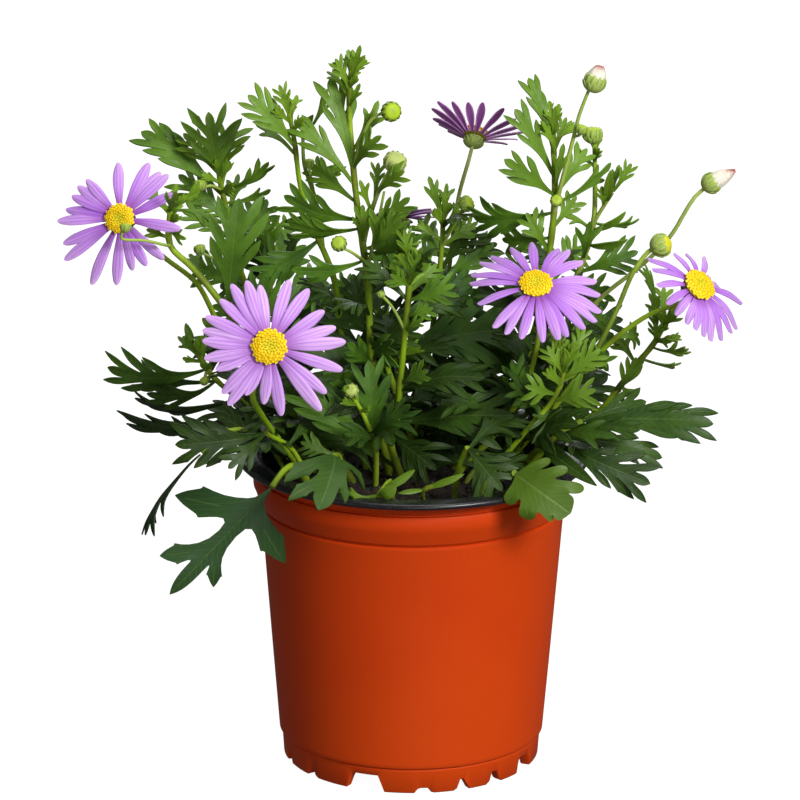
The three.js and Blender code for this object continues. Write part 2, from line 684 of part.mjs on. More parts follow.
function tube(path, girth, sides = stemSides) {
  const curve = new THREE.CatmullRomCurve3(path);
  const line = centreLine(path);
  const steps = line.length - 1;
  const frames = curve.computeFrenetFrames(steps, false);
  const points = [];
  const faces = [];
  for (let i = 0; i <= steps; i++) {
    const centre = line[i];
    const radius = THREE.MathUtils.lerp(girth[0], girth[1], i / steps);
    for (let k = 0; k < sides; k++) {
      const angle = (2 * Math.PI * k) / sides;
      points.push(
        centre
          .clone()
          .addScaledVector(frames.normals[i], Math.cos(angle) * radius)
          .addScaledVector(frames.binormals[i], Math.sin(angle) * radius),
      );
    }
  }
  for (let i = 0; i < steps; i++)
    for (let k = 0; k < sides; k++) {
      const a = i * sides + k;
      const b = i * sides + ((k + 1) % sides);
      faces.push([a, b, b + sides], [a, b + sides, a + sides]);
    }
  for (let k = 1; k < sides - 1; k++) {
    const last = steps * sides;
    faces.push([0, k + 1, k], [last, last + k, last + k + 1]);
  }
  return indexed(points, faces);
}

// A turned shape along an axis: rows of radius and height, raised by a pattern of bumps
function turned(centre, axis, rows, sides, bump = 0) {
  const across = new THREE.Vector3(0.3, 0.2, 1).cross(axis).normalize();
  const along = axis.clone().cross(across);
  const points = [centre.clone().addScaledVector(axis, rows[0][1])];
  const faces = [];
  const inner = rows.slice(1, -1);
  inner.forEach(([radius, height], row) => {
    for (let k = 0; k < sides; k++) {
      const raised = (k + row) % 2 === 0 ? bump : 0;
      const angle = (2 * Math.PI * k) / sides;
      points.push(
        centre
          .clone()
          .addScaledVector(axis, height + raised * 0.6)
          .addScaledVector(across, Math.cos(angle) * (radius + raised))
          .addScaledVector(along, Math.sin(angle) * (radius + raised)),
      );
    }
  });
  points.push(centre.clone().addScaledVector(axis, rows.at(-1)[1]));
  const last = points.length - 1;
  for (let k = 0; k < sides; k++) {
    const next = (k + 1) % sides;
    faces.push([0, 1 + next, 1 + k]);
    for (let row = 0; row + 1 < inner.length; row++) {
      const a = 1 + row * sides + k;
      const b = 1 + row * sides + next;
      faces.push([a, b, b + sides], [a, b + sides, a + sides]);
    }
    const top = 1 + (inner.length - 1) * sides;
    faces.push([last, top + k, top + next]);
  }
  return indexed(points, faces);
}

// Lobes of a leaf, one side and then the other: where a lobe starts and ends along the rib,
// where its point is, and how far out, all as shares of the leaf's length
const shapedLobes = {
  drooping: [
    [[0.14, 0.3, 0.3, 0.37], [0.56, 0.72, 0.76, 0.15]],
    [[0.14, 0.34, 0.51, 0.44], [0.5, 0.7, 0.86, 0.22]],
  ],
  broad: [
    [[0.2, 0.42, 0.5, 0.62], [0.42, 0.62, 0.8, 0.62], [0.64, 0.82, 0.98, 0.36]],
    [[0.2, 0.42, 0.22, 0.8], [0.42, 0.62, 0.66, 0.5], [0.64, 0.82, 0.98, 0.3]],
  ],
  fan: [
    [[0.2, 0.44, 0.3, 0.5], [0.44, 0.64, 0.56, 0.52], [0.64, 0.8, 0.86, 0.42]],
    [[0.26, 0.5, 0.5, 0.3], [0.52, 0.7, 0.8, 0.34], [0.72, 0.86, 0.98, 0.2]],
  ],
};

const lobeReach = [[1], [0.95, 0.85], [0.8, 1, 0.72], [0.72, 1, 0.95, 0.62]];

function lobesOf(row, length, random) {
  if (typeof row.pairs === "string") return shapedLobes[row.pairs];
  const half = row.width / 2 / length;
  const most = length > longLeaf ? 3 : length > shortLeaf ? 2 : 1;
  const pairs = Math.min(row.pairs, most);
  return [1, -1].map(() =>
    Array.from({ length: pairs }, (_, i) => {
      const from = firstLobe + ((lastLobe - firstLobe) * i) / pairs;
      const to = firstLobe + ((lastLobe - firstLobe) * (i + 1)) / pairs;
      const reach = half * lobeReach[pairs - 1][i] * (0.85 + 0.3 * random());
      return [from, to, Math.min(0.99, from + 0.2 + 0.05 * random()), reach];
    }),
  );
}

// The leaf's blade between two points, cut into lobes
function leafBlade(row, base, tip, thickness, random) {
  const chord = tip.clone().sub(base);
  const length = chord.length();
  chord.normalize();
  const up = toViewer.clone().addScaledVector(chord, -toViewer.dot(chord)).normalize();
  up.applyAxisAngle(chord, THREE.MathUtils.degToRad(row.turn));
  const side = up.clone().cross(chord);
  const lobes = lobesOf(row, length, random);
  const middle = [];
  const put = (along, out) => {
    const lift = 4 * row.arch * along * (1 - along) - 0.5 * out * out;
    middle.push(
      base
        .clone()
        .addScaledVector(chord, along * length)
        .addScaledVector(side, out * length)
        .addScaledVector(up, lift * length),
    );
    return middle.length - 1;
  };
  const triangles = [];
  const stations = [0, ...new Set(lobes.flat().flatMap(([from, to]) => [from, to]))];
  stations.sort((a, b) => a - b);
  if (stations.length === 1) stations.push(0.35, 0.75);
  const widest = 0.06 + 0.1 * Math.min(1, row.width / length);
  const webHalf = (s) =>
    s === 0 ? rootHalf / length : Math.max(0.9 / length, widest * Math.sin(Math.PI * (0.18 + 0.68 * s)));
  const plain = (s) => (row.width / 2 / length) * Math.sin(Math.PI * (0.12 + 0.76 * s));
  const half = lobes.flat().length ? webHalf : (s) => (s === 0 ? rootHalf / length : plain(s));
  const left = stations.map((s) => put(s, half(s)));
  const right = stations.map((s) => put(s, -half(s)));
  for (let i = 0; i + 1 < stations.length; i++) {
    triangles.push([left[i], right[i], right[i + 1]]);
    triangles.push([left[i], right[i + 1], left[i + 1]]);
  }
  const point = put(1, 0);
  triangles.push([left.at(-1), right.at(-1), point]);
  lobes.forEach((rows, k) => {
    const sign = k === 0 ? 1 : -1;
    const rim = k === 0 ? left : right;
    rows.forEach(([from, to, at, out]) => {
      const first = stations.indexOf(from);
      const last = stations.indexOf(to);
      const end = put(at, sign * out);
      const low = half(from);
      const shoulder = () => put(from + 0.42 * (at - from), sign * (low + 0.74 * (out - low)));
      const outer = typeof row.pairs === "string" ? [shoulder()] : [];
      const fan = [...outer, end, ...rim.slice(first + 1, last + 1).reverse()];
      for (let i = 0; i + 1 < fan.length; i++) {
        const t = [rim[first], fan[i], fan[i + 1]];
        triangles.push(k === 0 ? t.reverse() : t);
      }
    });
  });
  return blade(middle, middle.map(() => up), triangles, thickness);
}

// Petals of one flower as one blade: a round middle, and straps that widen towards their tips.
// A petal is never wider than the room to its neighbours, so that none cross.
function petalRing(centre, axis, petals, bloom, random) {
  const across = petals[0].direction;
  const along = axis.clone().cross(across);
  const angleOf = ({ direction }) => {
    const angle = Math.atan2(direction.dot(along), direction.dot(across));
    return (angle + 2 * Math.PI) % (2 * Math.PI);
  };
  const ordered = petals.map((petal) => ({ angle: angleOf(petal), length: petal.length }));
  ordered.sort((a, b) => a.angle - b.angle);
  const count = ordered.length;
  const middle = [centre.clone()];
  const put = (angle, reach, height) => {
    const point = centre.clone().addScaledVector(axis, height);
    point.addScaledVector(across, Math.cos(angle) * reach);
    middle.push(point.addScaledVector(along, Math.sin(angle) * reach));
    return middle.length - 1;
  };
  const rooms = ordered.map(({ angle }, i) => {
    const next = ordered[(i + 1) % count].angle + (i + 1 === count ? 2 * Math.PI : 0);
    return next - angle;
  });
  const roots = ordered.map(({ angle }, i) => put(angle + rooms[i] / 2, petalRoot, 0));
  const triangles = [];
  ordered.forEach(({ angle, length }, i) => {
    const before = rooms[(i + count - 1) % count] / 2;
    const after = rooms[i] / 2;
    const sag = bloom.sag * (0.75 + 0.5 * random());
    const heightAt = (s) => (bloom.rise * s - sag * s * s) * length;
    let edge = [roots[(i + count - 1) % count], roots[i]];
    triangles.push([0, ...edge]);
    for (const [s, half] of [[0.5, 0.4], [0.88, 0.5]]) {
      const reach = petalRoot + s * (length - petalRoot);
      const spread = Math.asin((half * petalWidth) / reach);
      const room = 0.96;
      const next = [
        put(angle - Math.min(spread, room * before), reach, heightAt(s)),
        put(angle + Math.min(spread, room * after), reach, heightAt(s)),
      ];
      triangles.push([edge[0], next[0], next[1]], [edge[0], next[1], edge[1]]);
      edge = next;
    }
    triangles.push([...edge.slice(0, 1), put(angle, length, heightAt(1)), edge[1]]);
  });
  return blade(middle, middle.map(() => axis), triangles, petalThickness);
}

const group = new THREE.Group();
group.position.set(potAxis.x, potAxis.y, 0);
const placed = [];

function addNode(name, body, look) {
  const mesh = new THREE.Mesh(geometryOf(body), new THREE.MeshStandardMaterial(colours[look]));
  mesh.name = name;
  group.add(mesh);
}

// Pot
function wallAt(z) {
  const slope = (grooveRadius - footLineRadius) / (grooveHeight - footLine);
  return footLineRadius + slope * (z - footLine);
}

function potBody() {
  const outside = [
    [0, floorTop - floorThickness],
    [footRadius - footWidth - 1, floorTop - floorThickness],
    [footRadius - footWidth, 0],
    [footRadius, 0],
    [footRadius + 0.6, footLine],
    [footLineRadius, footLine + 0.4],
    [grooveRadius, grooveHeight],
    [grooveRadius - 0.4, grooveHeight + 0.5],
    [collarRadius, collarTop - 5],
    [collarRadius, collarTop],
    [neckRadius, collarTop + 0.4],
    [neckRadius, potHeight - flangeThickness],
    [rimRadius, potHeight - flangeThickness],
    [rimRadius, potHeight],
    [neckRadius - potWall, potHeight],
    [wallAt(grooveHeight) - potWall - 0.4, grooveHeight],
    [wallAt(floorTop) - potWall, floorTop],
    [0, floorTop],
  ];
  const profile = outside.map(([radius, z]) => new THREE.Vector2(radius, z));
  const turnedPot = new THREE.LatheGeometry(profile, potSides);
  turnedPot.rotateX(Math.PI / 2);
  let body = solid(turnedPot);
  const gaps = [...footGaps, ...footGaps.map(([angle, wide, high]) => [angle + 180, wide, high])];
  for (const [angle, wide, high] of gaps) {
    const width = 2 * footRadius * Math.sin(THREE.MathUtils.degToRad(wide));
    const notch = new THREE.BoxGeometry(width, 12, 2 * high);
    notch.translate(0, -footRadius, 0);
    notch.rotateZ(THREE.MathUtils.degToRad(angle));
    body = body.subtract(solid(notch));
  }
  for (let i = 0; i < drainHoles; i++) {
    const hole = new THREE.CylinderGeometry(drainRadius, drainRadius, 10, 6);
    hole.rotateX(Math.PI / 2);
    hole.translate(0, drainCircle, floorTop);
    hole.rotateZ((2 * Math.PI * (i + 0.5)) / drainHoles);
    body = body.subtract(solid(hole));
  }
  return body;
}

// Soil, with a plain hole for each stem
function soilBody(holes) {
  const clear = potWall + gap;
  const rows = [
    [0, floorTop + gap],
    [wallAt(floorTop) - clear - 0.8, floorTop + gap],
    [wallAt(grooveHeight - 3) - clear - 0.6, grooveHeight - 3],
    [wallAt(grooveHeight - 3) - clear - 0.3, soilTop - 1.2],
    [24, soilTop + 0.5 * soilCrown],
    [0, soilTop + soilCrown],
  ].map(([radius, z]) => new THREE.Vector2(radius, z));
  const lathe = new THREE.LatheGeometry(rows, 14);
  lathe.rotateX(Math.PI / 2);
  const position = lathe.getAttribute("position");
  for (let i = 0; i < position.count; i++) {
    const z = position.getZ(i);
    const x = position.getX(i);
    const y = position.getY(i);
    const rough = 0.7 * Math.sin(0.31 * x + 1) * Math.cos(0.27 * y);
    if (z > soilTop - 1) position.setZ(i, z + rough);
  }
  return holes.reduce((body, hole) => body.subtract(hole), solid(lathe));
}

// Blooms: petals in a ring, a disc of florets before it and a green cup behind it
function petalDirections(bloom, axis, random) {
  if (bloom.spread) {
    const across = new THREE.Vector3(1, 0, 0).addScaledVector(axis, -axis.x).normalize();
    const along = axis.clone().cross(across);
    return Array.from({ length: bloom.spread }, (_, i) => {
      const angle = (2 * Math.PI * (i + 0.3 * random())) / bloom.spread;
      const direction = across.clone().multiplyScalar(Math.cos(angle));
      direction.addScaledVector(along, Math.sin(angle));
      return { direction, length: bloom.length * (0.94 + 0.1 * random()) };
    });
  }
  return bloom.petals.map(([degrees, length]) => {
    const angle = THREE.MathUtils.degToRad(degrees);
    const direction = sheetRight.clone().multiplyScalar(Math.cos(angle));
    direction.addScaledVector(sheetUp, Math.sin(angle));
    direction.addScaledVector(toViewer, -direction.dot(axis) / toViewer.dot(axis));
    return { direction: direction.normalize(), length };
  });
}

function bloomParts(bloom, seed) {
  const random = draws(seed);
  const centre = seen(...bloom.at);
  const axis = facing(...bloom.faces);
  const petals = petalDirections(bloom, axis, random);
  const low = petalThickness / 2 + gap;
  const discRows = [[0, low], [discRadius - 1, low], [discRadius - 0.2, low + 1.1],
    [discRadius - 1.6, low + discHeight - 0.4], [discRadius - 3.2, low + discHeight - 0.2],
    [0, low + discHeight - 0.5]];
  const cupRows = [[0, -cupDepth], [cupRadius - 1, -cupDepth + 1.4], [cupRadius, -2],
    [cupRadius - 0.3, -low - 0.2], [0, -low]];
  return {
    petals: solid(petalRing(centre, axis, petals, bloom, random)),
    disc: solid(turned(centre, axis, discRows, 12, 0.45)),
    cup: solid(turned(centre, axis, cupRows, 10, 0.25)),
    neck: [-cupDepth - 4, -cupDepth + 0.6].map((h) => centre.clone().addScaledVector(axis, h)),
  };
}

const bodies = {};
Object.entries(blooms).forEach(([name, bloom], i) => {
  bodies[name] = bloomParts(bloom, petalSeed + 7 * i);
  placed.push({ owner: `petals_${name}`, body: bodies[name].petals });
  placed.push({ owner: `disc_${name}`, body: bodies[name].disc });
});

const budTips = {};

// Buds: a green cup, and on the ripe ones a tip of another colour
function budBody({ at, radius, points, ripe }) {
  const large = radius > 2;
  const heights = large ? [-0.85, -0.25, 0.45, 0.88] : [-0.7, 0, 0.7];
  const kept = heights.filter((h) => !ripe || h <= ripeHeight);
  const rows = kept.map((h) => [radius * Math.sqrt(1 - h * h), radius * h]);
  const profile = [[0, -radius], ...rows, [0, ripe ? ripeHeight * radius : radius]];
  return solid(turned(seen(...at), facing(...points), profile, large ? 8 : 6, 0.08 * radius));
}

function budTip({ at, radius, points }) {
  const low = (ripeHeight + 0.05) * radius + tipGap;
  const rows = [[0, low], [0.8 * radius, low], [0.7 * radius, 0.9 * radius], [0, 1.3 * radius]];
  return solid(turned(seen(...at), facing(...points), rows, 7));
}

// Stems: points closely spaced along the straight steps of their middle lines
function sampled(path) {
  const line = centreLine(path);
  return line.slice(1).flatMap((end, i) =>
    Array.from({ length: 12 }, (_, k) => line[i].clone().lerp(end, k / 12)),
  );
}

function nearest(samples, away) {
  return samples.reduce((best, p) => (away(p) < away(best) ? p : best));
}

const growing = Object.entries(stems).map(([name, stem]) => {
  const [x, y] = stem.soil;
  const foot = [new THREE.Vector3(x, y, soilTop - stemDepth), new THREE.Vector3(x, y, soilTop + 1)];
  const path = [...foot, ...stem.route.map((p) => seen(...p))];
  const wood = [];
  if (stem.bloom) {
    path.push(...bodies[stem.bloom].neck);
    wood.push(bodies[stem.bloom].cup);
  }
  wood.push(solid(tube(path, stem.girth)));
  const samples = sampled(path);
  const branch = (route, girth) => {
    const from = nearest(samples, (p) => p.distanceTo(route[0]));
    const line = [from, ...route.slice(1)];
    samples.push(...sampled(line));
    wood.push(solid(tube(line, girth, 3)));
  };
  for (const twig of stem.twigs ?? []) branch(twig.route.map((p) => seen(...p)), twig.girth);
  for (const one of stem.buds ?? []) {
    const middle = seen(...one.at);
    branch([middle, middle], [budStalk, budStalk]);
    wood.push(budBody(one));
    if (one.ripe) {
      budTips[one.ripe] = budTip(one);
      placed.push({ owner: `tip_${one.ripe}_bud`, body: budTips[one.ripe] });
    }
  }
  wood.forEach((body) => placed.push({ owner: name, body }));
  return { name, stem, path, wood, samples };
});

// The hole in the soil follows the stem's foot, with room round and under it
const holes = growing.map(({ stem, path }) => {
  const curve = new THREE.CatmullRomCurve3(path);
  const steps = stepsOf(curve);
  const low = curve.getPointAt(0);
  const high = curve.getPointAt(1 / steps);
  const down = low.clone().sub(high).normalize();
  low.addScaledVector(down, 2 * gap + 0.5 * stem.girth[0]);
  const wide = (stem.girth[0] + 1.9 * gap) / Math.cos(Math.PI / stemSides);
  return solid(tube([low, high], [wide, wide]));
});
const pot = potBody();
const soil = soilBody(holes);
placed.push({ owner: "pot", body: pot }, { owner: "soil", body: soil });

// A leaf is bent nearer or further until it is clear of everything but its own stem, and if it
// can be, of the other leaves on its stem too
const bends = [0, -5, 5, -10, 10, -15, 15, -20, 20, -26, 26, -32, 32];

function clearOf(others, body, space) {
  const box = body.boundingBox();
  return others.every((other) => {
    other.box ??= other.body.boundingBox();
    const apart = [0, 1, 2].some(
      (k) => box.min[k] > other.box.max[k] + space || box.max[k] < other.box.min[k] - space,
    );
    return apart || body.minGap(other.body, space + 0.1) >= space;
  });
}

growing.forEach(({ name, stem, wood, samples }, s) => {
  const others = placed.filter(({ owner }) => owner !== name);
  stem.leaves.forEach((row, k) => {
    const base = nearest(samples, (p) => {
      const [across, rise] = onSheetAt(p);
      return Math.hypot(across - row.root[0], rise - row.root[1]);
    });
    const bladeTo = (tip, start) => {
      const inside = rootInside / base.distanceTo(tip);
      const root = base.clone().lerp(tip, Math.max(start, inside));
      return solid(leafBlade(row, root, tip, leafThickness, draws(leafSeed + 97 * s + 13 * k)));
    };
    const own = placed.filter(({ owner }) => owner === name);
    const tips = bends
      .map((bend) => seen(...row.tip, base.y + row.behind + bend))
      .filter((tip) => clearOf(others, bladeTo(tip, 0), gap));
    const tip = tips.find((one) => clearOf(own, bladeTo(one, outOfStem), leafSpace));
    const body = bladeTo(tip ?? tips[0], 0);
    wood.push(body);
    placed.push({ owner: name, body });
  });
});

addNode("pot", pot, "pot");
addNode("soil", soil, "soil");
for (const { name, wood } of growing) addNode(name, fused(wood), "foliage");
for (const [name, tip] of Object.entries(budTips)) addNode(`tip_${name}_bud`, tip, "budTip");
for (const [name, { petals, disc }] of Object.entries(bodies)) {
  addNode(`petals_${name}`, petals, "petal");
  addNode(`disc_${name}`, disc, "disc");
}

export default group;
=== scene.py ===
"""A swan river daisy in a round nursery pot: pot, soil, leafy stems, flowers and buds."""

import math

import bmesh
import bpy
from mathutils import Matrix, Quaternion, Vector, noise


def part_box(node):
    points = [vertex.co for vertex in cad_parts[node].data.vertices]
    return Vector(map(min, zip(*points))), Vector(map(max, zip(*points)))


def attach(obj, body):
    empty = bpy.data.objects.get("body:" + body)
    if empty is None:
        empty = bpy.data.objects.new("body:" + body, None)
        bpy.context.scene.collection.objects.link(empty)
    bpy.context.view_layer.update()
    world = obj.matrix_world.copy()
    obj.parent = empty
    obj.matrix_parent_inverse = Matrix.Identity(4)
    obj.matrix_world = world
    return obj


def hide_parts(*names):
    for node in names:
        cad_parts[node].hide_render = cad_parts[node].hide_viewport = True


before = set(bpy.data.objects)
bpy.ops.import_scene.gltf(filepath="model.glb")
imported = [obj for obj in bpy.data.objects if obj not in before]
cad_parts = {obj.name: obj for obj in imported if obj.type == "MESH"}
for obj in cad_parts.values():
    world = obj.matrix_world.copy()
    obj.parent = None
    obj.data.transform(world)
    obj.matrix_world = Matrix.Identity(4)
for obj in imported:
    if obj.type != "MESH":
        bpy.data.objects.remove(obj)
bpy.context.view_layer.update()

# Everything is laid out in millimetres about the pot's axis, and made metres at the end.
MM = 0.001
pot_low, pot_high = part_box("pot")
POT_AXIS = Vector(((pot_low.x + pot_high.x) / 2, (pot_low.y + pot_high.y) / 2, 0))
TO_PART = Matrix.Translation(POT_AXIS) @ Matrix.Scale(MM, 4)

# Pot
POT_HEIGHT = pot_high.z / MM
RIM_RADIUS = (pot_high.x - pot_low.x) / 2 / MM
RIM_ROLL = 1.9
NECK_RADIUS = 47.0
COLLAR_RADIUS = 47.6
COLLAR_TOP = 88.9
COLLAR_LOW = 84.8
GROOVE_HEIGHT = 79.0
GROOVE_RADIUS = 45.4
FOOT_LINE = 7.6
FOOT_LINE_RADIUS = 39.7
FOOT_RADIUS = 38.4
FOOT_WIDTH = 3.2
POT_WALL = 1.0
LINER_RADIUS = 44.9
FLOOR_TOP = 6.6
FLOOR_THICKNESS = 1.4
DRAIN_HOLES = 4
DRAIN_RADIUS = 3.2
DRAIN_CIRCLE = 25
POT_STEPS = 240
# Gaps between the feet, one half turn of them: degrees from the front, half width, height
FOOT_GAPS = [
    (-71, 2.5, 3.0), (-50.5, 2.5, 3.2), (-21, 8, 5.0), (5.5, 3.5, 1.6), (23.5, 2.5, 3.4),
    (40.5, 3, 3.6), (62, 6, 4.4),
]
# Small notches round the neck, in degrees from the front
NECK_NOTCHES = (-8, 16, 26.5, 70, 118, 160, 205, 250, 290)

# Soil: its middle rises by the crown above its top, and its edge lies by the drop under it
SOIL_TOP = 84.0
SOIL_CROWN = 1.4
SOIL_DROP = 1.2
SOIL_RADIUS = 43.6
SOIL_RINGS = 22
SOIL_STEPS = 110
CRUMBS = 360
STEM_DEPTH = 7.0

# Flowers and buds
PETAL_THICKNESS = 0.32
PETAL_WIDTH = 3.35
# How far from the middle of the disc a petal starts
PETAL_START = 3.4
DISC_RADIUS = 5.2
DISC_HEIGHT = 2.4
CUP_RADIUS = 3.6
CUP_DEPTH = 4.6
CUP_SCALES = 13
FLORETS = 110
FLORET_TURN = math.radians(137.508)
BUD_STALK = 0.6

# Stems and their hairs
# A stem is drawn a little thinner than its solid
STEM_LOOK = 0.84
TWIG_PALE = 0.35
# How near a leaf's root a stem swells and darkens, and how high above the soil painted shade
# darkens it
SWELL_REACH = 2.6
BLUSH_REACH = 4.5
LOW_SHADE_HEIGHT = 22
HAIRS_A_STEP = 3
HAIR_LENGTH = 0.8
HAIR_RADIUS = 0.045
# From one leaf or hair to the next round a stem, and a full turn for a random draw, in radians
GOLDEN_TURN = 2.4
FULL_TURN = 6.28

# Leaves
LEAF_THICKNESS = 0.42
VEIN_SPACING = 2.4
# The steps by which a leaf's solid may be bent nearer or further, and how close to a leaf's tip a
# corner of its solid has to be
BENDS = (0, -5, 5, -10, 10, -15, 15, -20, 20, -26, 26, -32, 32)
BEND_REACH = 1.2
# How far apart the inner leaves grow along a stem
INNER_SPACING = 6.5
# Where along a leaf its first lobe starts, for one to four pairs of lobes, and its last one ends
FIRST_LOBES = (0.5, 0.46, 0.37, 0.32)
LAST_LOBE = 0.88

# Seeds of the random draws, and their steps from one flower, stem or leaf to the next
CRUMB_SEED = 77
PETAL_SEED = 101
INNER_SEED = 500
LEAF_SEED = 1000
HAIR_SEED = 3000
FLOWER_STEP = 7
STEM_STEP = 7
INNER_STEP = 11
STEM_LEAF_STEP = 97
LEAF_STEP = 13

# The plant is laid out as it is seen from the front and a little above: across and rise are
# millimetres on a sheet that faces the camera through the pot's axis, and depth is the distance
# behind that axis. seen() turns the three into a point.
VIEW_RISE = math.radians(17)
VIEW_ROLL = math.radians(0.33)
VIEW_DISTANCE = 1634
AIM = Vector((-3.9, 0, 110.2))
AIM_ON_SHEET = Vector((-4.16, 104.1))
TO_VIEWER = Vector((0, -math.cos(VIEW_RISE), math.sin(VIEW_RISE)))
SHEET_RIGHT = Vector((1, 0, 0))
SHEET_UP = Vector((0, math.sin(VIEW_RISE), math.cos(VIEW_RISE)))
VIEWER = AIM + TO_VIEWER * VIEW_DISTANCE
INNER_FACING = (TO_VIEWER + Vector((0, 0, 1))).normalized()
# The outline of the dense part of the foliage, across and rise on the sheet
CROWN = [
    (-60, 147), (-50, 131), (-68, 120), (-62, 104), (-64, 92), (-42, 81), (42, 79), (66, 84),
    (70, 98), (58, 110), (56, 125), (48, 134), (54, 143), (38, 155), (30, 161), (14, 160), (6, 163),
    (-3, 152), (-14, 146), (-24, 148), (-33, 142), (-42, 156), (-50, 163),
]


def seen(across, rise, depth):
    """The point that is seen at a place on the sheet, at a depth."""
    on_sheet = AIM + SHEET_RIGHT * (across - AIM_ON_SHEET.x) + SHEET_UP * (rise - AIM_ON_SHEET.y)
    return VIEWER + (on_sheet - VIEWER) * ((depth - VIEWER.y) / (on_sheet.y - VIEWER.y))


def on_sheet(point):
    """The place on the sheet where a point is seen."""
    ray = point - VIEWER
    ray = ray * (-VIEW_DISTANCE / ray.dot(TO_VIEWER)) + VIEWER - AIM
    return Vector((ray.dot(SHEET_RIGHT), ray.dot(SHEET_UP))) + AIM_ON_SHEET


def facing(right, up, near):
    """A direction, given by how far it goes right, up and towards the viewer."""
    return (SHEET_RIGHT * right + SHEET_UP * up + TO_VIEWER * near).normalized()


def leaf(root, tip, behind, width, pairs, turn=0, arch=0.1):
    """Where a leaf leaves the stem and where its tip is on the sheet, how far the tip is behind
    the stem, its width, its pairs of lobes, its turn about its own rib and how much it arches."""
    return {"root": root, "tip": tip, "behind": behind, "width": width, "pairs": pairs,
            "turn": turn, "arch": arch}


def bud(at, radius, points=(0, 1, 0.3), ripe="", pale=0.15):
    """A round bud: its middle, radius, the way it points, its name if it is ripe enough to show
    petals, and how pale it is."""
    return {"at": at, "radius": radius, "points": points, "ripe": ripe, "pale": pale}


def plant(soil, girth, route, twigs=(), buds=(), bloom="", leaves=()):
    """A stem: where it leaves the soil, its radius at both ends and the places it goes through,
    its twigs, each with its own radii and route, its buds, its flower and its leaves."""
    return {"soil": soil, "girth": girth, "route": route, "twigs": twigs, "buds": buds,
            "bloom": bloom, "leaves": leaves}


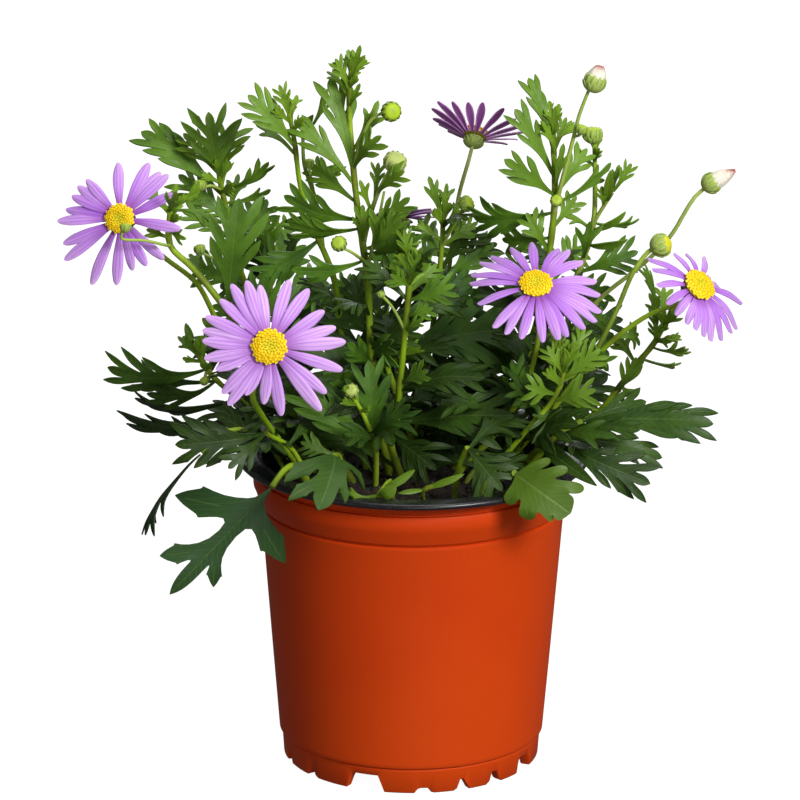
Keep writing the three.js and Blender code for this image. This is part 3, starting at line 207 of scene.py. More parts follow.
PLANTS = {
    "stem_tall": plant(
        soil=(-7, 6), girth=(1.6, 0.8),
        route=[(-11.5, 103, 2), (-13, 120, 0), (-14, 140, -2), (-17, 160, -2), (-19, 180, -1),
            (-19.8, 196, 0), (-19, 204, 1)],
        twigs=[
            ((0.8, 0.6), [(-18.5, 172, -1), (-16, 182, -4), (-13, 187.5, -6), (-10, 189.3, -7)]),
            ((0.9, 0.6), [(-15.5, 151, -2), (-13, 160, -6), (-10, 168, -8), (-7.5, 172.5, -9)]),
            ((0.7, 0.5), [(-14, 143, -2), (-12, 152, -9), (-9.2, 166, -12)]),
            ((0.7, 0.5), [(-14.5, 146, -2), (-19, 148, -12), (-22.3, 149.5, -15)]),
        ],
        buds=[
            bud((-7.2, 189.8, -8), 2.8, (0.3, 0, 1), "", 0),
            bud((-6, 175, -9), 3.2, (0.3, 0.9, 0.8), "", 0.75),
            bud((-22.6, 150.5, -16), 2.2, (-0.2, 0.3, 1)),
        ],
        leaves=[
            leaf((-19.4, 171), (-25.6, 199.5), 6, 11, 2, 10),
            leaf((-19.6, 178), (-11, 193), 5, 8, 1, 20),
            leaf((-19, 172), (-10.5, 182.5), -5, 9, 2, -30),
            leaf((-20, 168), (-36, 187), 8, 9, 2, 20),
            leaf((-18, 158), (-39, 164.5), -8, 14, 3, -35),
            leaf((-17.5, 156), (-38, 157), -3, 10, 3, -50),
            leaf((-15, 146), (-36.5, 142.5), -14, 9, 1, -35),
            leaf((-19.8, 196), (-24, 205.5), -3, 5, 2, 10),
            leaf((-19.8, 194), (-26.5, 201.5), 4, 4, 1, 50),
            leaf((-19.6, 198), (-18.8, 208), 3, 3.5, 1),
            leaf((-19.2, 200), (-16.6, 209.4), -2, 4, 1, 10),
            leaf((-19.8, 190), (-16.6, 198), 4, 3.5, 1),
            leaf((-12, 163), (-11, 174.6), 5, 5, 2),
            leaf((-11.5, 165), (-3, 172.2), -5, 8, 2, -20),
            leaf((-13.8, 156), (-1.6, 164.2), -10, 8, 2, 20),
            leaf((-19, 163), (-31.5, 174), 12, 9, 3),
            leaf((-12.6, 116), (-20, 121), -16, 8, 2),
            leaf((-13, 160), (-16.5, 169.5), -4, 4, 1),
            leaf((-14, 141), (-1, 146), 12, 12, 3, 30),
            leaf((-13.5, 149), (-9.6, 161), -6, 8, 2),
            leaf((-13.2, 150), (-4.4, 158.6), -9, 8, 2, 10),
            leaf((-14.6, 149), (-15.6, 162), -5, 7, 2),
            leaf((-14.6, 147), (0, 154), -14, 9, 3, 40),
            leaf((-13, 122), (-5, 118), -18, 10, 2, 30),
            leaf((-12, 109), (-27, 112), -20, 9, 3, -30),
        ],
    ),
    "stem_upper_left": plant(
        soil=(-14, 12), girth=(1.5, 0.8),
        route=[(-20, 104, 10), (-21.5, 120, 9), (-24, 140, 8), (-30, 155, 6), (-34, 167, 4),
            (-36, 181, 2), (-37.8, 190, 1)],
        twigs=[
            ((0.9, 0.6), [(-27, 149, 7), (-29.5, 163, 10), (-33, 174, 12), (-33.5, 184, 13)]),
            ((0.6, 0.5), [(-30, 165, 10), (-31.5, 172.5, 6)]),
        ],
        buds=[
            bud((-31.6, 174.5, 6), 1.5, (-0.1, 1, 0.4)),
        ],
        leaves=[
            leaf((-36, 179), (-50, 194.5), -4, 12, 3, 15),
            leaf((-36, 176), (-47.5, 185.5), 6, 6, 1, 40),
            leaf((-37.6, 188), (-40.6, 197.6), -2, 6, 2),
            leaf((-37.5, 187), (-35.2, 194.5), 3, 4, 1),
            leaf((-33.4, 182), (-26.5, 196.5), 7, 6, 2, 60),
            leaf((-33, 174), (-22, 171), 4, 9, 3, 40),
            leaf((-28, 152), (-47, 140), -6, 12, 3, -20),
            leaf((-33.5, 184), (-30.5, 188.6), -4, 2.5, 0),
            leaf((-21, 115), (-31, 104), -12, 11, 3, 10),
            leaf((-30, 155), (-38, 148), 10, 9, 2, 30),
            leaf((-22, 125), (-33, 118), 8, 12, 3, 20),
            leaf((-25, 143), (-33, 131), -14, 11, 3, 20),
        ],
    ),
    "stem_left_fan": plant(
        soil=(-21, 18), girth=(1.5, 0.9),
        route=[(-36, 106, 24), (-46, 128, 26), (-53, 146, 24), (-56, 160, 22), (-57.8, 168, 20),
            (-58.6, 173, 18)],
        twigs=[
            ((0.6, 0.5), [(-57.5, 166, 20), (-61, 167.5, 17), (-63.5, 166.5, 15)]),
            ((0.6, 0.5), [(-53, 143, 24), (-60, 146, 18), (-63.5, 147.5, 14)]),
        ],
        buds=[
            bud((-64, 167.8, 14), 1.9, (0, 1, 0.2)),
            bud((-64, 148.7, 13), 1.7, (-0.3, 1, 0.4)),
        ],
        leaves=[
            leaf((-58, 169), (-61.6, 189.6), -4, 17, 3),
            leaf((-57.8, 168), (-54, 185.5), 6, 14, 3, -20),
            leaf((-58.2, 170), (-69, 183), 3, 9, 3, 10),
            leaf((-57, 165), (-81.5, 183.5), 8, 12, 3, 20, 0.14),
            leaf((-57.4, 167), (-43.5, 174.5), -6, 7, 2, 60),
            leaf((-56.5, 163), (-43, 166.5), 6, 5, 1, 40),
            leaf((-55.5, 158), (-52.5, 171), 9, 7, 1),
            leaf((-55, 156), (-70.5, 170.5), 4, 13, 3, 20),
            leaf((-53, 146), (-44, 163.5), 12, 13, 3, 10),
            leaf((-50, 138), (-66, 144), 8, 12, 3),
            leaf((-54, 150), (-69, 160), -4, 10, 3, 30),
            leaf((-44, 123), (-60, 132), 8, 10, 2, 10),
            leaf((-48, 132), (-36, 152), 10, 14, 3),
        ],
    ),
    "stem_left_shoot": plant(
        soil=(-18, -1), girth=(1.6, 1.0),
        route=[(-31, 93, -4), (-40, 106, -9), (-50, 121, -13), (-57, 132, -14), (-66, 143, -12),
            (-72.6, 149.5, -10), (-73, 157, -9), (-72, 163, -9)],
        twigs=[
            ((0.6, 0.5), [(-72, 149, -10), (-74.5, 149.8, -20), (-80, 151, -22.5),
                (-87.2, 151.6, -24), (-87, 153.2, -24.6)]),
        ],
        buds=[
            bud((-86, 155, -24.5), 1.6, (0.1, 1, 0.2)),
        ],
        leaves=[
            leaf((-72, 161), (-81.2, 165.6), -8, 10, 2, 20),
            leaf((-72.2, 160), (-57.5, 156), -5, 7, 2, -50),
            leaf((-72.6, 159), (-71, 165.5), -7, 5, 1),
            leaf((-73, 153), (-79.8, 154.4), -9, 5, 2),
            leaf((-63, 140), (-67, 147), 10, 6, 1, 20),
            leaf((-55, 129), (-52.4, 163.5), -6, 19, 3, 0, 0.06),
            leaf((-50, 121), (-44.5, 141.5), -16, 11, 3, 20),
            leaf((-73, 155), (-68, 151.5), -6, 5, 1, 30),
            leaf((-72, 162), (-64, 166), 6, 7, 2, 40),
            leaf((-44, 112), (-33, 124), -16, 9, 2),
        ],
    ),
    "stalk_left_flower": plant(
        soil=(-24, 10), girth=(1.2, 0.8),
        route=[(-38, 100, 6), (-50, 114, 0), (-57, 123, -3), (-60.5, 131, -4), (-65, 138.7, -5),
            (-75, 146.5, -6)],
        bloom="left",
        leaves=[
            leaf((-57, 123), (-63, 128), 6, 3, 0),
            leaf((-38, 100), (-52, 101), -8, 7, 1, 20),
        ],
    ),
    "stalk_front_flower": plant(
        soil=(-31, -4), girth=(1.3, 0.9),
        route=[(-40, 92, -12), (-45, 99, -22), (-48, 106, -33)],
        bloom="front",
    ),
    "stem_low_left": plant(
        soil=(-30, 10), girth=(1.3, 0.8),
        route=[(-42, 96, 10), (-52, 104, 8), (-60, 111, 4), (-65.5, 119, 2)],
        buds=[
            bud((-62.4, 109.4, -3), 1.3, (-0.4, 0.6, 0.6)),
        ],
        leaves=[
            leaf((-62, 114), (-91, 113), -8, 13, 3, -35, 0.16),
            leaf((-58, 109.5), (-80.5, 112), 4, 9, 2, -50),
            leaf((-59, 110), (-79.5, 105.6), -4, 8, 2, -40, 0.2),
            leaf((-52, 104), (-83, 104), 12, 7, 2, -60),
            leaf((-47, 100), (-86.5, 98.6), 6, 8, 2, -55),
            leaf((-44, 97.5), (-70.5, 93.6), -2, 11, 3, -40),
            leaf((-64.5, 118), (-70.3, 122.6), -3, 5, 1),
            leaf((-65, 118.6), (-68, 126.6), 3, 2.5, 0),
            leaf((-60, 111.5), (-62.6, 109.2), -4.6, 1.5, 0, 0, 0),
        ],
    ),
    "leaf_front_left": plant(
        soil=(-30, -15), girth=(1.1, 0.8),
        route=[(-36, 89, -22), (-44, 94, -30)],
        leaves=[
            leaf((-43.5, 93.8), (-71, 90.5), -8, 17, 3, -10, 0.12),
            leaf((-43.5, 93.8), (-55, 83.5), -13, 9, 2),
        ],
    ),
    "leaf_edge_left": plant(
        soil=(-37, -2), girth=(1.0, 0.8),
        route=[(-44, 92, -4), (-50, 95, -6), (-57, 94, -8), (-63, 88, -10)],
        leaves=[
            leaf((-62, 88.4), (-79.6, 63.5), -6, 9, 2, 72, 0.06),
        ],
    ),
    "leaf_drooping_left": plant(
        soil=(-30, -22), girth=(1.3, 1.0),
        route=[(-35, 84.4, -31), (-39, 82.5, -38), (-42, 78, -42)],
        leaves=[
            leaf((-41.5, 79), (-72.2, 46), -6, 9, "drooping", 0, 0.06),
        ],
    ),
    "leaf_over_rim_front": plant(
        soil=(-20, -22), girth=(1.1, 0.9),
        route=[(-22, 87, -34), (-23.5, 87.5, -42)],
        leaves=[
            leaf((-23.5, 87.4), (-28.4, 71), -14, 27, "broad", -10, 0.14),
            leaf((-22.8, 87.2), (-33.6, 91.4), 2, 8, 3),
        ],
    ),
    "leaf_curled": plant(
        soil=(-6, -30), girth=(1.0, 0.8),
        route=[(-7, 80, -38), (-10.5, 75.6, -45)],
        leaves=[
            leaf((-10.5, 75.6), (-19.8, 77), -1, 5, 1, 40, -0.25),
            leaf((-10.5, 75.6), (-5.2, 78.6), -1, 4.4, 0, 30, 0.2),
            leaf((-9, 76.6), (0.3, 83.4), -2, 2.6, 0, 20),
        ],
    ),
    "leaf_yellow_strap": plant(
        soil=(4, -30), girth=(0.9, 0.8),
        route=[(3, 77.4, -40), (6, 78.6, -41)],
        leaves=[
            leaf((5, 78.4), (15, 82.2), -1, 2.2, 0, 10),
            leaf((3.2, 77.6), (-4.6, 76.4), -2, 1.6, 0),
        ],
    ),
    "stem_front_bud": plant(
        soil=(-11, -8), girth=(1.2, 0.7),
        route=[(-11.5, 90, -14), (-15, 99.6, -20), (-18.3, 105, -24)],
        buds=[
            bud((-18.6, 106.8, -25), 2.0, (-0.2, 0.3, 1), "", 0.6),
        ],
        leaves=[
            leaf((-11.6, 90), (-13.6, 115.6), -10, 13, 3),
            leaf((-13, 95), (-1.2, 102.6), -14, 8, 3),
            leaf((-11.3, 88), (-35, 109), -6, 14, 3),
            leaf((-12, 92), (-21, 94), -16, 8, 2, 20),
        ],
    ),
    "stem_centre": plant(
        soil=(-3, -2), girth=(1.5, 0.9),
        route=[(-7, 92, -4), (-5, 99, -7), (-4.4, 107, -10), (-3.4, 118, -13), (-2.4, 129, -15),
            (-1.6, 140, -16), (-2, 147, -15)],
        twigs=[
            ((0.6, 0.5), [(-3, 124, -14), (-6.5, 131.5, -17), (-9.6, 135, -19)]),
        ],
        buds=[
            bud((-10, 135.6, -19.5), 1.2, (-0.3, 1, 0.3)),
        ],
        leaves=[
            leaf((-1.8, 137), (-7.4, 141.4), -8, 7, 2),
            leaf((-1.7, 138), (1.4, 147.4), -8, 9, 2),
            leaf((-1.9, 136), (6.6, 144.6), 4, 9, 3),
            leaf((-2, 134), (12, 138.4), -6, 10, 3),
            leaf((-1.9, 145), (-3.2, 154.8), -3, 5, 2),
            leaf((-5.6, 97), (29.6, 99.6), -14, 17, 3, -15, 0.08),
            leaf((-6.6, 93), (6.8, 83.4), -16, 15, 3),
            leaf((-3, 124), (2.8, 128.6), -6, 4, 1),
            leaf((-1.9, 142), (-6, 148.6), 3, 4, 1),
            leaf((-4.2, 110), (4.4, 113), -6, 8, 2),
            leaf((-2.3, 130), (5.6, 131.4), -10, 7, 2),
            leaf((-1.9, 144), (0.2, 152.8), 3, 4, 1),
            leaf((-1.8, 143), (2.2, 149.6), -4, 4, 1),
        ],
    ),
    "stem_dark_centre": plant(
        soil=(1, 6), girth=(1.5, 1.0),
        route=[(-2, 98, 6), (-6, 108, 6), (-9, 118, 6), (-9, 126, 6)],
        leaves=[
            leaf((-9, 119), (30, 125.4), 4, 24, 3, -20),
            leaf((-6, 108), (27, 105), 0, 11, 3, -25),
            leaf((-5, 105), (21, 116), 10, 10, 3),
            leaf((-3, 99), (33, 94), -4, 14, 3, -25),
            leaf((-9, 125), (18, 140), 14, 12, 3),
            leaf((-9, 122), (-26, 134), 6, 12, 3),
        ],
    ),
    "stalk_top_flower": plant(
        soil=(4, 18), girth=(1.1, 0.7),
        route=[(7, 108, 26), (9, 125, 28), (10, 140, 28), (11.5, 155, 28), (13, 165, 27)],
        bloom="top",
        leaves=[
            leaf((9.4, 131), (16, 144), 8, 9, 2),
        ],
    ),
    "stem_back_centre": plant(
        soil=(0, 13), girth=(1.4, 0.8),
        route=[(3, 110, 19), (6, 130, 21), (8, 150, 20), (8.4, 160, 19)],
        twigs=[
            ((0.6, 0.5), [(8, 150, 20), (11.5, 156, 15), (14, 160.5, 13)]),
        ],
        buds=[
            bud((15.4, 162.6, 12), 2.3, (0.7, 0.4, 0.5)),
        ],
        leaves=[
            leaf((8.4, 157), (4, 170.6), -3, 5, 1),
            leaf((8.4, 158), (9.4, 168.6), 4, 5, 1),
            leaf((8.3, 156), (13.4, 163.4), 5, 4, 1, 30),
            leaf((8, 150), (18.6, 157), 4, 8, 3),
            leaf((7, 140), (23.5, 151), 4, 12, 3),
            leaf((7.8, 147), (1, 158), 8, 9, 2),
            leaf((2, 106), (12, 110), 26, 14, 3),
            leaf((6.4, 134), (-9, 150), 8, 12, 3),
        ],
    ),
    "stalk_centre_flower": plant(
        soil=(11, -6), girth=(1.2, 0.8),
        route=[(24, 94, -10), (32, 106, -14), (36, 118, -17), (37, 127, -19)],
        bloom="centre",
        leaves=[
            leaf((31, 104), (29, 116), -8, 8, 2),
            leaf((36, 118), (30.6, 126), 8, 5, 1),
        ],
    ),
    "stem_right_tall": plant(
        soil=(12, 8), girth=(1.6, 0.9),
        route=[(24, 98, 8), (32, 114, 6), (37, 130, 4), (40.2, 150, 1), (41.5, 165, 0),
            (41, 180, 0), (40.6, 188, 1)],
        twigs=[
            ((0.9, 0.6), [(41, 160, 0), (44, 171, -4), (46.6, 181, -6), (48.6, 189, -6),
                (51.2, 196, -6)]),
            ((0.6, 0.5), [(47, 182, -6), (48.6, 183, -8)]),
        ],
        buds=[
            bud((53.2, 199.2, -6), 3.2, (0.35, 1, 0.2), "tall", 0.4),
            bud((49.3, 185, -9), 1.7, (0.3, 1, 0.4)),
            bud((42, 163.6, -5), 1.8, (0, 0.4, 1)),
        ],
        leaves=[
            leaf((40.8, 178), (33.4, 200), 5, 6, 2, 20),
            leaf((40.6, 184), (41.4, 191.6), -2, 4.5, 1),
            leaf((41, 177), (44.8, 188.4), 4, 5, 2),
            leaf((41.2, 170), (29.4, 190.8), -4, 8, 2, 10),
            leaf((41.4, 165), (26.4, 175.8), -8, 9, 2),
            leaf((41.4, 165), (51, 179.2), 6, 8, 2),
            leaf((41.4, 163), (58, 175), 10, 6, 1, 40),
            leaf((41.2, 160), (17.4, 158.4), 10, 12, 3, -30),
            leaf((41, 178), (37, 187.4), -5, 4, 1, 30),
            leaf((41.4, 168), (44, 180.6), -6, 5, 1),
            leaf((37.6, 133), (25, 130), 6, 12, 3),
            leaf((35, 123), (20, 118), 6, 12, 3, -20),
            leaf((40.4, 152), (26, 152), 8, 12, 2, -20),
            leaf((40.8, 156), (48, 165), -8, 8, 2),
            leaf((40, 148), (33, 160), -6, 9, 2),
        ],
    ),
    "stem_right_bud": plant(
        soil=(18, 16), girth=(1.4, 0.8),
        route=[(34, 112, 18), (44, 132, 17), (50, 146, 15), (53, 157, 14), (53.4, 170, 13),
            (53.2, 180.5, 13)],
        twigs=[
            ((0.8, 0.6), [(53, 156, 14), (56, 162, 12), (58.6, 166, 11)]),
        ],
        buds=[
            bud((52.6, 183.6, 12.4), 2.8, (0, 1, 0.3)),
        ],
        leaves=[
            leaf((57, 163.6), (58, 172.8), -3, 3, 0),
            leaf((58, 165), (60.6, 174.4), 3, 4, 1),
            leaf((58.4, 165.6), (64.2, 174.8), -2, 5, 2, 10),
            leaf((53, 156), (66.6, 158.4), 6, 5, 1, 60),
            leaf((52.8, 155), (62.6, 160.4), -4, 3, 0, 50),
            leaf((51.6, 151), (63.2, 152.2), -5, 3, 0, 50),
            leaf((52.6, 154), (44.4, 159), -3, 4, 1, 50),
            leaf((48.6, 143), (66.4, 148.6), -6, 12, 3),
            leaf((56, 162), (55.4, 168), -5, 4, 2),
            leaf((45, 134), (58, 138), -8, 10, 2),
            leaf((40, 124), (62, 128.4), 0, 14, 3, -20),
            leaf((50, 146), (52, 157.4), -8, 9, 1),
        ],
    ),
    "stalk_cup_bud": plant(
        soil=(16, -1), girth=(1.1, 0.8),
        route=[(36, 98, -1), (47, 109, -2), (55, 121, -4), (60, 131, -6), (65, 142.6, -8),
            (69.4, 148.6, -8), (71.4, 149.8, -8)],
        buds=[
            bud((73.4, 150.6, -8), 3.3, (1, 0.25, 0.25), "cup", 0.4),
        ],
        leaves=[
            leaf((40, 102), (52, 100), -8, 9, 2),
        ],
    ),
    "stalk_pink_bud": plant(
        soil=(23, 9), girth=(1.0, 0.7),
        route=[(40, 110, 9), (48, 126, 9), (56, 135.4, 7), (66, 143.4, 4), (73, 149.8, 2),
            (77, 154.8, 0), (80.2, 160.4, -2), (83, 164.8, -3), (85.8, 167.4, -3)],
        buds=[
            bud((88.2, 169.2, -3), 3.0, (0.9, 0.5, 0.2), "pink", 0.35),
        ],
        leaves=[
            leaf((48, 126), (57, 129.6), 6, 8, 2),
        ],
    ),
    "stalk_right_flower": plant(
        soil=(24, -5), girth=(1.2, 0.8),
        route=[(40, 100, -8), (50, 113, -12), (60, 123, -15), (70, 130, -18)],
        bloom="right",
        leaves=[
            leaf((60, 123), (66.6, 124), 6, 8, 2),
            leaf((50, 113), (56.6, 119), -10, 8, 2),
        ],
    ),
    "stem_right_shoot": plant(
        soil=(30, 5), girth=(1.5, 0.9),
        route=[(47, 97, 5), (55, 101, 4), (60, 107, 4), (66, 115, 4), (71.6, 122, 4), (75, 129, 3)],
        leaves=[
            leaf((70, 120), (81.6, 119.8), -4, 6, 2, 60),
            leaf((68, 117.5), (79.4, 115.4), 4, 4, 1, 60),
            leaf((72, 122.6), (76.6, 122), -6, 4, 1),
            leaf((74, 127), (79.4, 131.4), -4, 5, 1),
            leaf((71.6, 122), (71.6, 127.4), -5, 5, 2),
            leaf((73.6, 126), (69.6, 136.4), -5, 5, 1),
            leaf((73.8, 126.6), (74, 138), 8, 7, 2),
            leaf((71.4, 121.8), (67.6, 143.8), 3, 6, 3, 75),
            leaf((60, 107), (66, 117), -10, 7, 2, 20),
            leaf((62, 110), (64.2, 105), -6, 6, 1),
            leaf((66, 115), (60, 124), 8, 9, 2),
        ],
    ),
    "stem_light_shoot": plant(
        soil=(20, -12), girth=(1.2, 0.8),
        route=[(34, 96, -16), (41, 104, -19), (44.4, 112, -21), (45, 117, -21)],
        leaves=[
            leaf((44.6, 113), (39.4, 120.6), -2, 7, 3),
            leaf((44.8, 114), (42, 124.8), 4, 5, 2),
            leaf((44.8, 114), (50.6, 126), 3, 6, 2, 20),
            leaf((44, 111), (39.4, 113.4), -4, 4, 1),
            leaf((43.6, 110), (55.4, 119.6), -2, 10, 3),
            leaf((41, 104), (54, 107.4), -6, 12, 3),
            leaf((44.6, 113), (48, 121), -4, 5, 1),
            leaf((42, 107), (33, 108.4), -8, 9, 2),
        ],
    ),
    "stem_low_right": plant(
        soil=(30, -10), girth=(1.5, 1.1),
        route=[(39, 90, -14), (44, 95, -15), (50, 98, -14)],
        leaves=[
            leaf((50, 98), (89, 97.4), -6, 12.5, 3, -25, 0.08),
            leaf((48, 97), (69, 104), 8, 10, 2, -20),
            leaf((43, 94), (60, 93.4), -14, 9, 1, -20, 0.16),
            leaf((46, 96), (67.4, 95.4), -18, 7, 2, -20),
            leaf((41, 92), (70.4, 79.6), -10, 14, 3, 0, 0.12),
            leaf((43, 94), (73.8, 87.4), -4, 9, 2, -20, 0.12),
            leaf((39, 90), (54.6, 78.8), -24, 5, 0, 0, 0.2),
        ],
    ),
    "leaf_rim_right": plant(
        soil=(22, -24), girth=(1.2, 1.0),
        route=[(27, 82.5, -35), (30, 82.6, -42)],
        leaves=[
            leaf((29.8, 82.4), (46.8, 70.8), -8, 21, "fan", 0, 0.14),
        ],
    ),
    "leaf_rim_front_right": plant(
        soil=(12, -24), girth=(1.1, 0.9),
        route=[(14, 86, -30), (16, 90, -33)],
        leaves=[
            leaf((15.6, 89.2), (26.4, 77.4), -10, 17, 3, 0, 0.16),
            leaf((15.8, 89.6), (33, 84.2), 0, 8, 2, 0, 0.2),
        ],
    ),
    "stalk_back_flower": plant(
        soil=(-12, 24), girth=(1.1, 0.7),
        route=[(-14, 112, 32), (-13, 128, 35), (-11, 143, 36)],
        bloom="back",
        leaves=[
            leaf((-13, 128), (-24, 140), 10, 10, 3),
        ],
    ),
    "stem_back_left": plant(
        soil=(-26, 26), girth=(1.5, 0.9),
        route=[(-34, 106, 36), (-40, 122, 44), (-43, 138, 48), (-43, 148, 50)],
        leaves=[
            leaf((-43, 145), (-52, 153), 6, 13, 3),
            leaf((-43, 146), (-36, 157), 8, 12, 3),
            leaf((-42, 134), (-58, 138), 14, 14, 3),
            leaf((-34, 106), (-54, 104), 22, 15, 3),
            leaf((-43, 146), (-44, 158), -6, 10, 3),
            leaf((-37, 114), (-26, 126), 20, 14, 3),
            leaf((-41, 130), (-28, 142), 14, 13, 3),
            leaf((-39, 120), (-62, 118), 16, 16, 3),
        ],
    ),
    "stem_back_middle": plant(
        soil=(2, 30), girth=(1.5, 0.9),
        route=[(2, 106, 42), (-1, 122, 50), (-2, 136, 54), (-1, 146, 55)],
        leaves=[
            leaf((-1, 143), (-12, 152), 6, 13, 3),
            leaf((-1, 144), (9, 153), 8, 12, 3),
            leaf((-1.6, 133), (14, 140), 14, 14, 3),
            leaf((0, 120), (18, 122), 16, 15, 3),
            leaf((-1.6, 131), (-17, 136), 16, 14, 3),
            leaf((0, 116), (-18, 118), 18, 15, 3),
        ],
    ),
    "stem_back_right": plant(
        soil=(24, 24), girth=(1.5, 0.9),
        route=[(32, 106, 34), (38, 122, 42), (40, 136, 46), (40, 146, 47)],
        leaves=[
            leaf((40, 143), (50, 150), 6, 13, 3),
            leaf((40, 144), (32, 154), 8, 12, 3),
            leaf((39.6, 132), (55, 134), 14, 14, 3),
            leaf((37, 119), (58, 118), 14, 16, 3),
            leaf((32, 106), (54, 106), 18, 16, 3),
            leaf((35, 113), (22, 124), 18, 13, 3),
            leaf((39.4, 130), (26, 140), 14, 13, 3),
        ],
    ),
}

# The flowers: how wide the petals and how large the cup beside the usual, the middle of the disc,
# the way it faces, how the petals rise and then sag over their length, how pale they are, and each
# petal's direction as seen, in degrees from the right, with its length. A flower that shows its
# back has evenly spread petals instead, a number of one length, and says how much painted shade,
# with pale margins of painted backlight, darkens its petals.
BLOOMS = {
    "left": {
        "wide": 0.92, "cup": 1,
        "at": (-87.5, 157.4, -14), "faces": (-0.16, 0.12, 1),
        "rise": 0.08, "sag": 0.16, "pale": 0.3,
        "petals": [
            (95, 17), (63, 18.5), (54, 18), (44, 19), (24, 17), (352, 18), (316, 17.5), (299, 16),
            (286, 15.5), (268, 19.5), (244, 21), (217, 20.5), (205, 18.6), (181, 19), (168, 17),
            (153, 16.5), (143, 16.6), (131, 16),
        ],
    },
    "front": {
        "wide": 1.04, "cup": 1,
        "at": (-43, 119.6, -50), "faces": (0.02, 0.1, 1),
        "rise": 0.06, "sag": 0.14, "pale": 0.8,
        "petals": [
            (76, 20.5), (58, 20.5), (32, 19), (17, 20), (3, 22), (343, 22), (322, 21), (310, 23.5),
            (281, 20), (266, 16.5), (245, 15.5), (235, 20.5), (222, 19), (204, 16.8), (191, 19),
            (177, 19.4), (165, 20), (153, 20.5), (135, 20), (123, 21.5), (111, 20.5), (99, 18.4),
        ],
    },
    "centre": {
        "wide": 0.86, "cup": 1,
        "at": (36, 138.2, -26), "faces": (0.02, 0.62, 0.8),
        "rise": 0.04, "sag": 0.22, "pale": 0.35,
        "petals": [
            (93, 19), (62, 19), (50, 19), (37, 19), (12, 18.5), (1, 19), (347, 20), (339, 20),
            (325, 19), (308, 18.6), (297, 19), (278, 18), (255, 18), (234, 18), (222, 18.5),
            (192, 17.5), (171, 19.5), (161, 20), (149, 20), (137, 19), (116, 19),
        ],
    },
    "right": {
        "wide": 0.74, "cup": 1,
        "at": (84, 138.2, -24), "faces": (0.5, 0.5, 0.68),
        "rise": 0.0, "sag": 0.3, "pale": 0.35,
        "petals": [
            (138, 16), (147, 13.5), (168, 12.5), (200, 11.5), (230, 11), (258, 12), (277, 13.5),
            (290, 14.5), (300, 15.5), (310, 16.5), (319, 17), (332, 18.5), (354, 20.5), (12, 13),
            (36, 12), (65, 17), (88, 15.5), (114, 13.5),
        ],
    },
    "top": {
        "wide": 0.72, "cup": 0.78,
        "at": (17.6, 182.6, 25), "faces": (0.22, 0.9, -0.36),
        "rise": 0.42, "sag": 0.1, "pale": 0.2,
        "spread": 17, "length": 14.5, "dusk": 1,
    },
    "back": {
        "wide": 0.72, "cup": 0.9,
        "at": (-5.2, 158.4, 38), "faces": (-0.1, 0.97, -0.12),
        "rise": 0.12, "sag": 0.12, "pale": 0.2,
        "spread": 15, "length": 14, "dusk": 0.3,
    },
}

# Young leaves crowded at the end of a shoot: how many, and how long
SHOOTS = {
    "stem_tall": (9, 7), "stem_upper_left": (7, 8), "stem_left_fan": (7, 9),
    "stem_left_shoot": (7, 7), "stem_low_left": (6, 8), "stem_front_bud": (5, 7),
    "stem_centre": (9, 9), "stem_dark_centre": (6, 12), "stem_back_centre": (7, 9),
    "stem_right_tall": (7, 7), "stem_right_bud": (5, 7), "stem_right_shoot": (7, 8),
    "stem_light_shoot": (9, 10), "stem_back_left": (6, 10), "stem_back_middle": (6, 10),
    "stem_back_right": (6, 10),
}

# How pale the stalks are that aren't leaf green: partly their own tone, partly painted light from
# below
PALE_AND_BOUNCE_LIT_STALKS = {
    "stalk_top_flower": 0.8, "stalk_pink_bud": 0.5, "stalk_cup_bud": 0.2, "stem_right_bud": 0.2,
}

# How far a stem's leaves lean to young yellow green, and to cool blue green
LEAF_LOOKS = {
    "leaf_drooping_left": (0.0, 0.9),
    "leaf_over_rim_front": (0.05, 0.5),
    "leaf_rim_right": (0.48, 0.0),
    "leaf_curled": (0.5, 0.0),
    "leaf_yellow_strap": (0.55, 0.0),
    "leaf_rim_front_right": (0.0, 0.1),
    "stem_light_shoot": (0.35, 0.0),
    "stem_right_shoot": (0.3, 0.0),
    "stem_low_right": (0.1, 0.15),
    "stem_dark_centre": (0.0, 0.3),
}


def draws(seed):
    """Small seeded generator, so that every run draws the same petals and lobes."""
    state = seed
    while True:
        state = state * 48271 % 2147483647
        yield state / 2147483647


def eased(low, high, value):
    """A smooth rise from 0 at low to 1 at high."""
    share = min(1, max(0, (value - low) / (high - low)))
    return share * share * (3 - 2 * share)


# Mesh helpers
SMOOTHED = ("SUBSURF", {"levels": 1, "render_levels": 1})


def join(target, part):
    """Adds one mesh to another."""
    mesh = bpy.data.meshes.new("joined")
    part.to_mesh(mesh)
    part.free()
    target.from_mesh(mesh)
    bpy.data.meshes.remove(mesh)


def mark(shape, **marks):
    """Writes the same values on all corners of a shape, for its material to read."""
    for name, value in marks.items():
        layer = shape.verts.layers.float.get(name) or shape.verts.layers.float.new(name)
        for corner in shape.verts:
            corner[layer] = value


def modified(shape, *modifiers):
    """The shape once modifiers, each a kind with its settings, have worked on it."""
    mesh = bpy.data.meshes.new("modified")
    shape.to_mesh(mesh)
    shape.free()
    holder = bpy.data.objects.new("modified", mesh)
    bpy.context.collection.objects.link(holder)
    for kind, settings in modifiers:
        modifier = holder.modifiers.new(kind, kind)
        for name, value in settings.items():
            setattr(modifier, name, value)
    worked = holder.evaluated_get(bpy.context.evaluated_depsgraph_get())
    result = bmesh.new()
    result.from_mesh(worked.to_mesh())
    worked.to_mesh_clear()
    bpy.data.objects.remove(holder)
    bpy.data.meshes.remove(mesh)
    return result


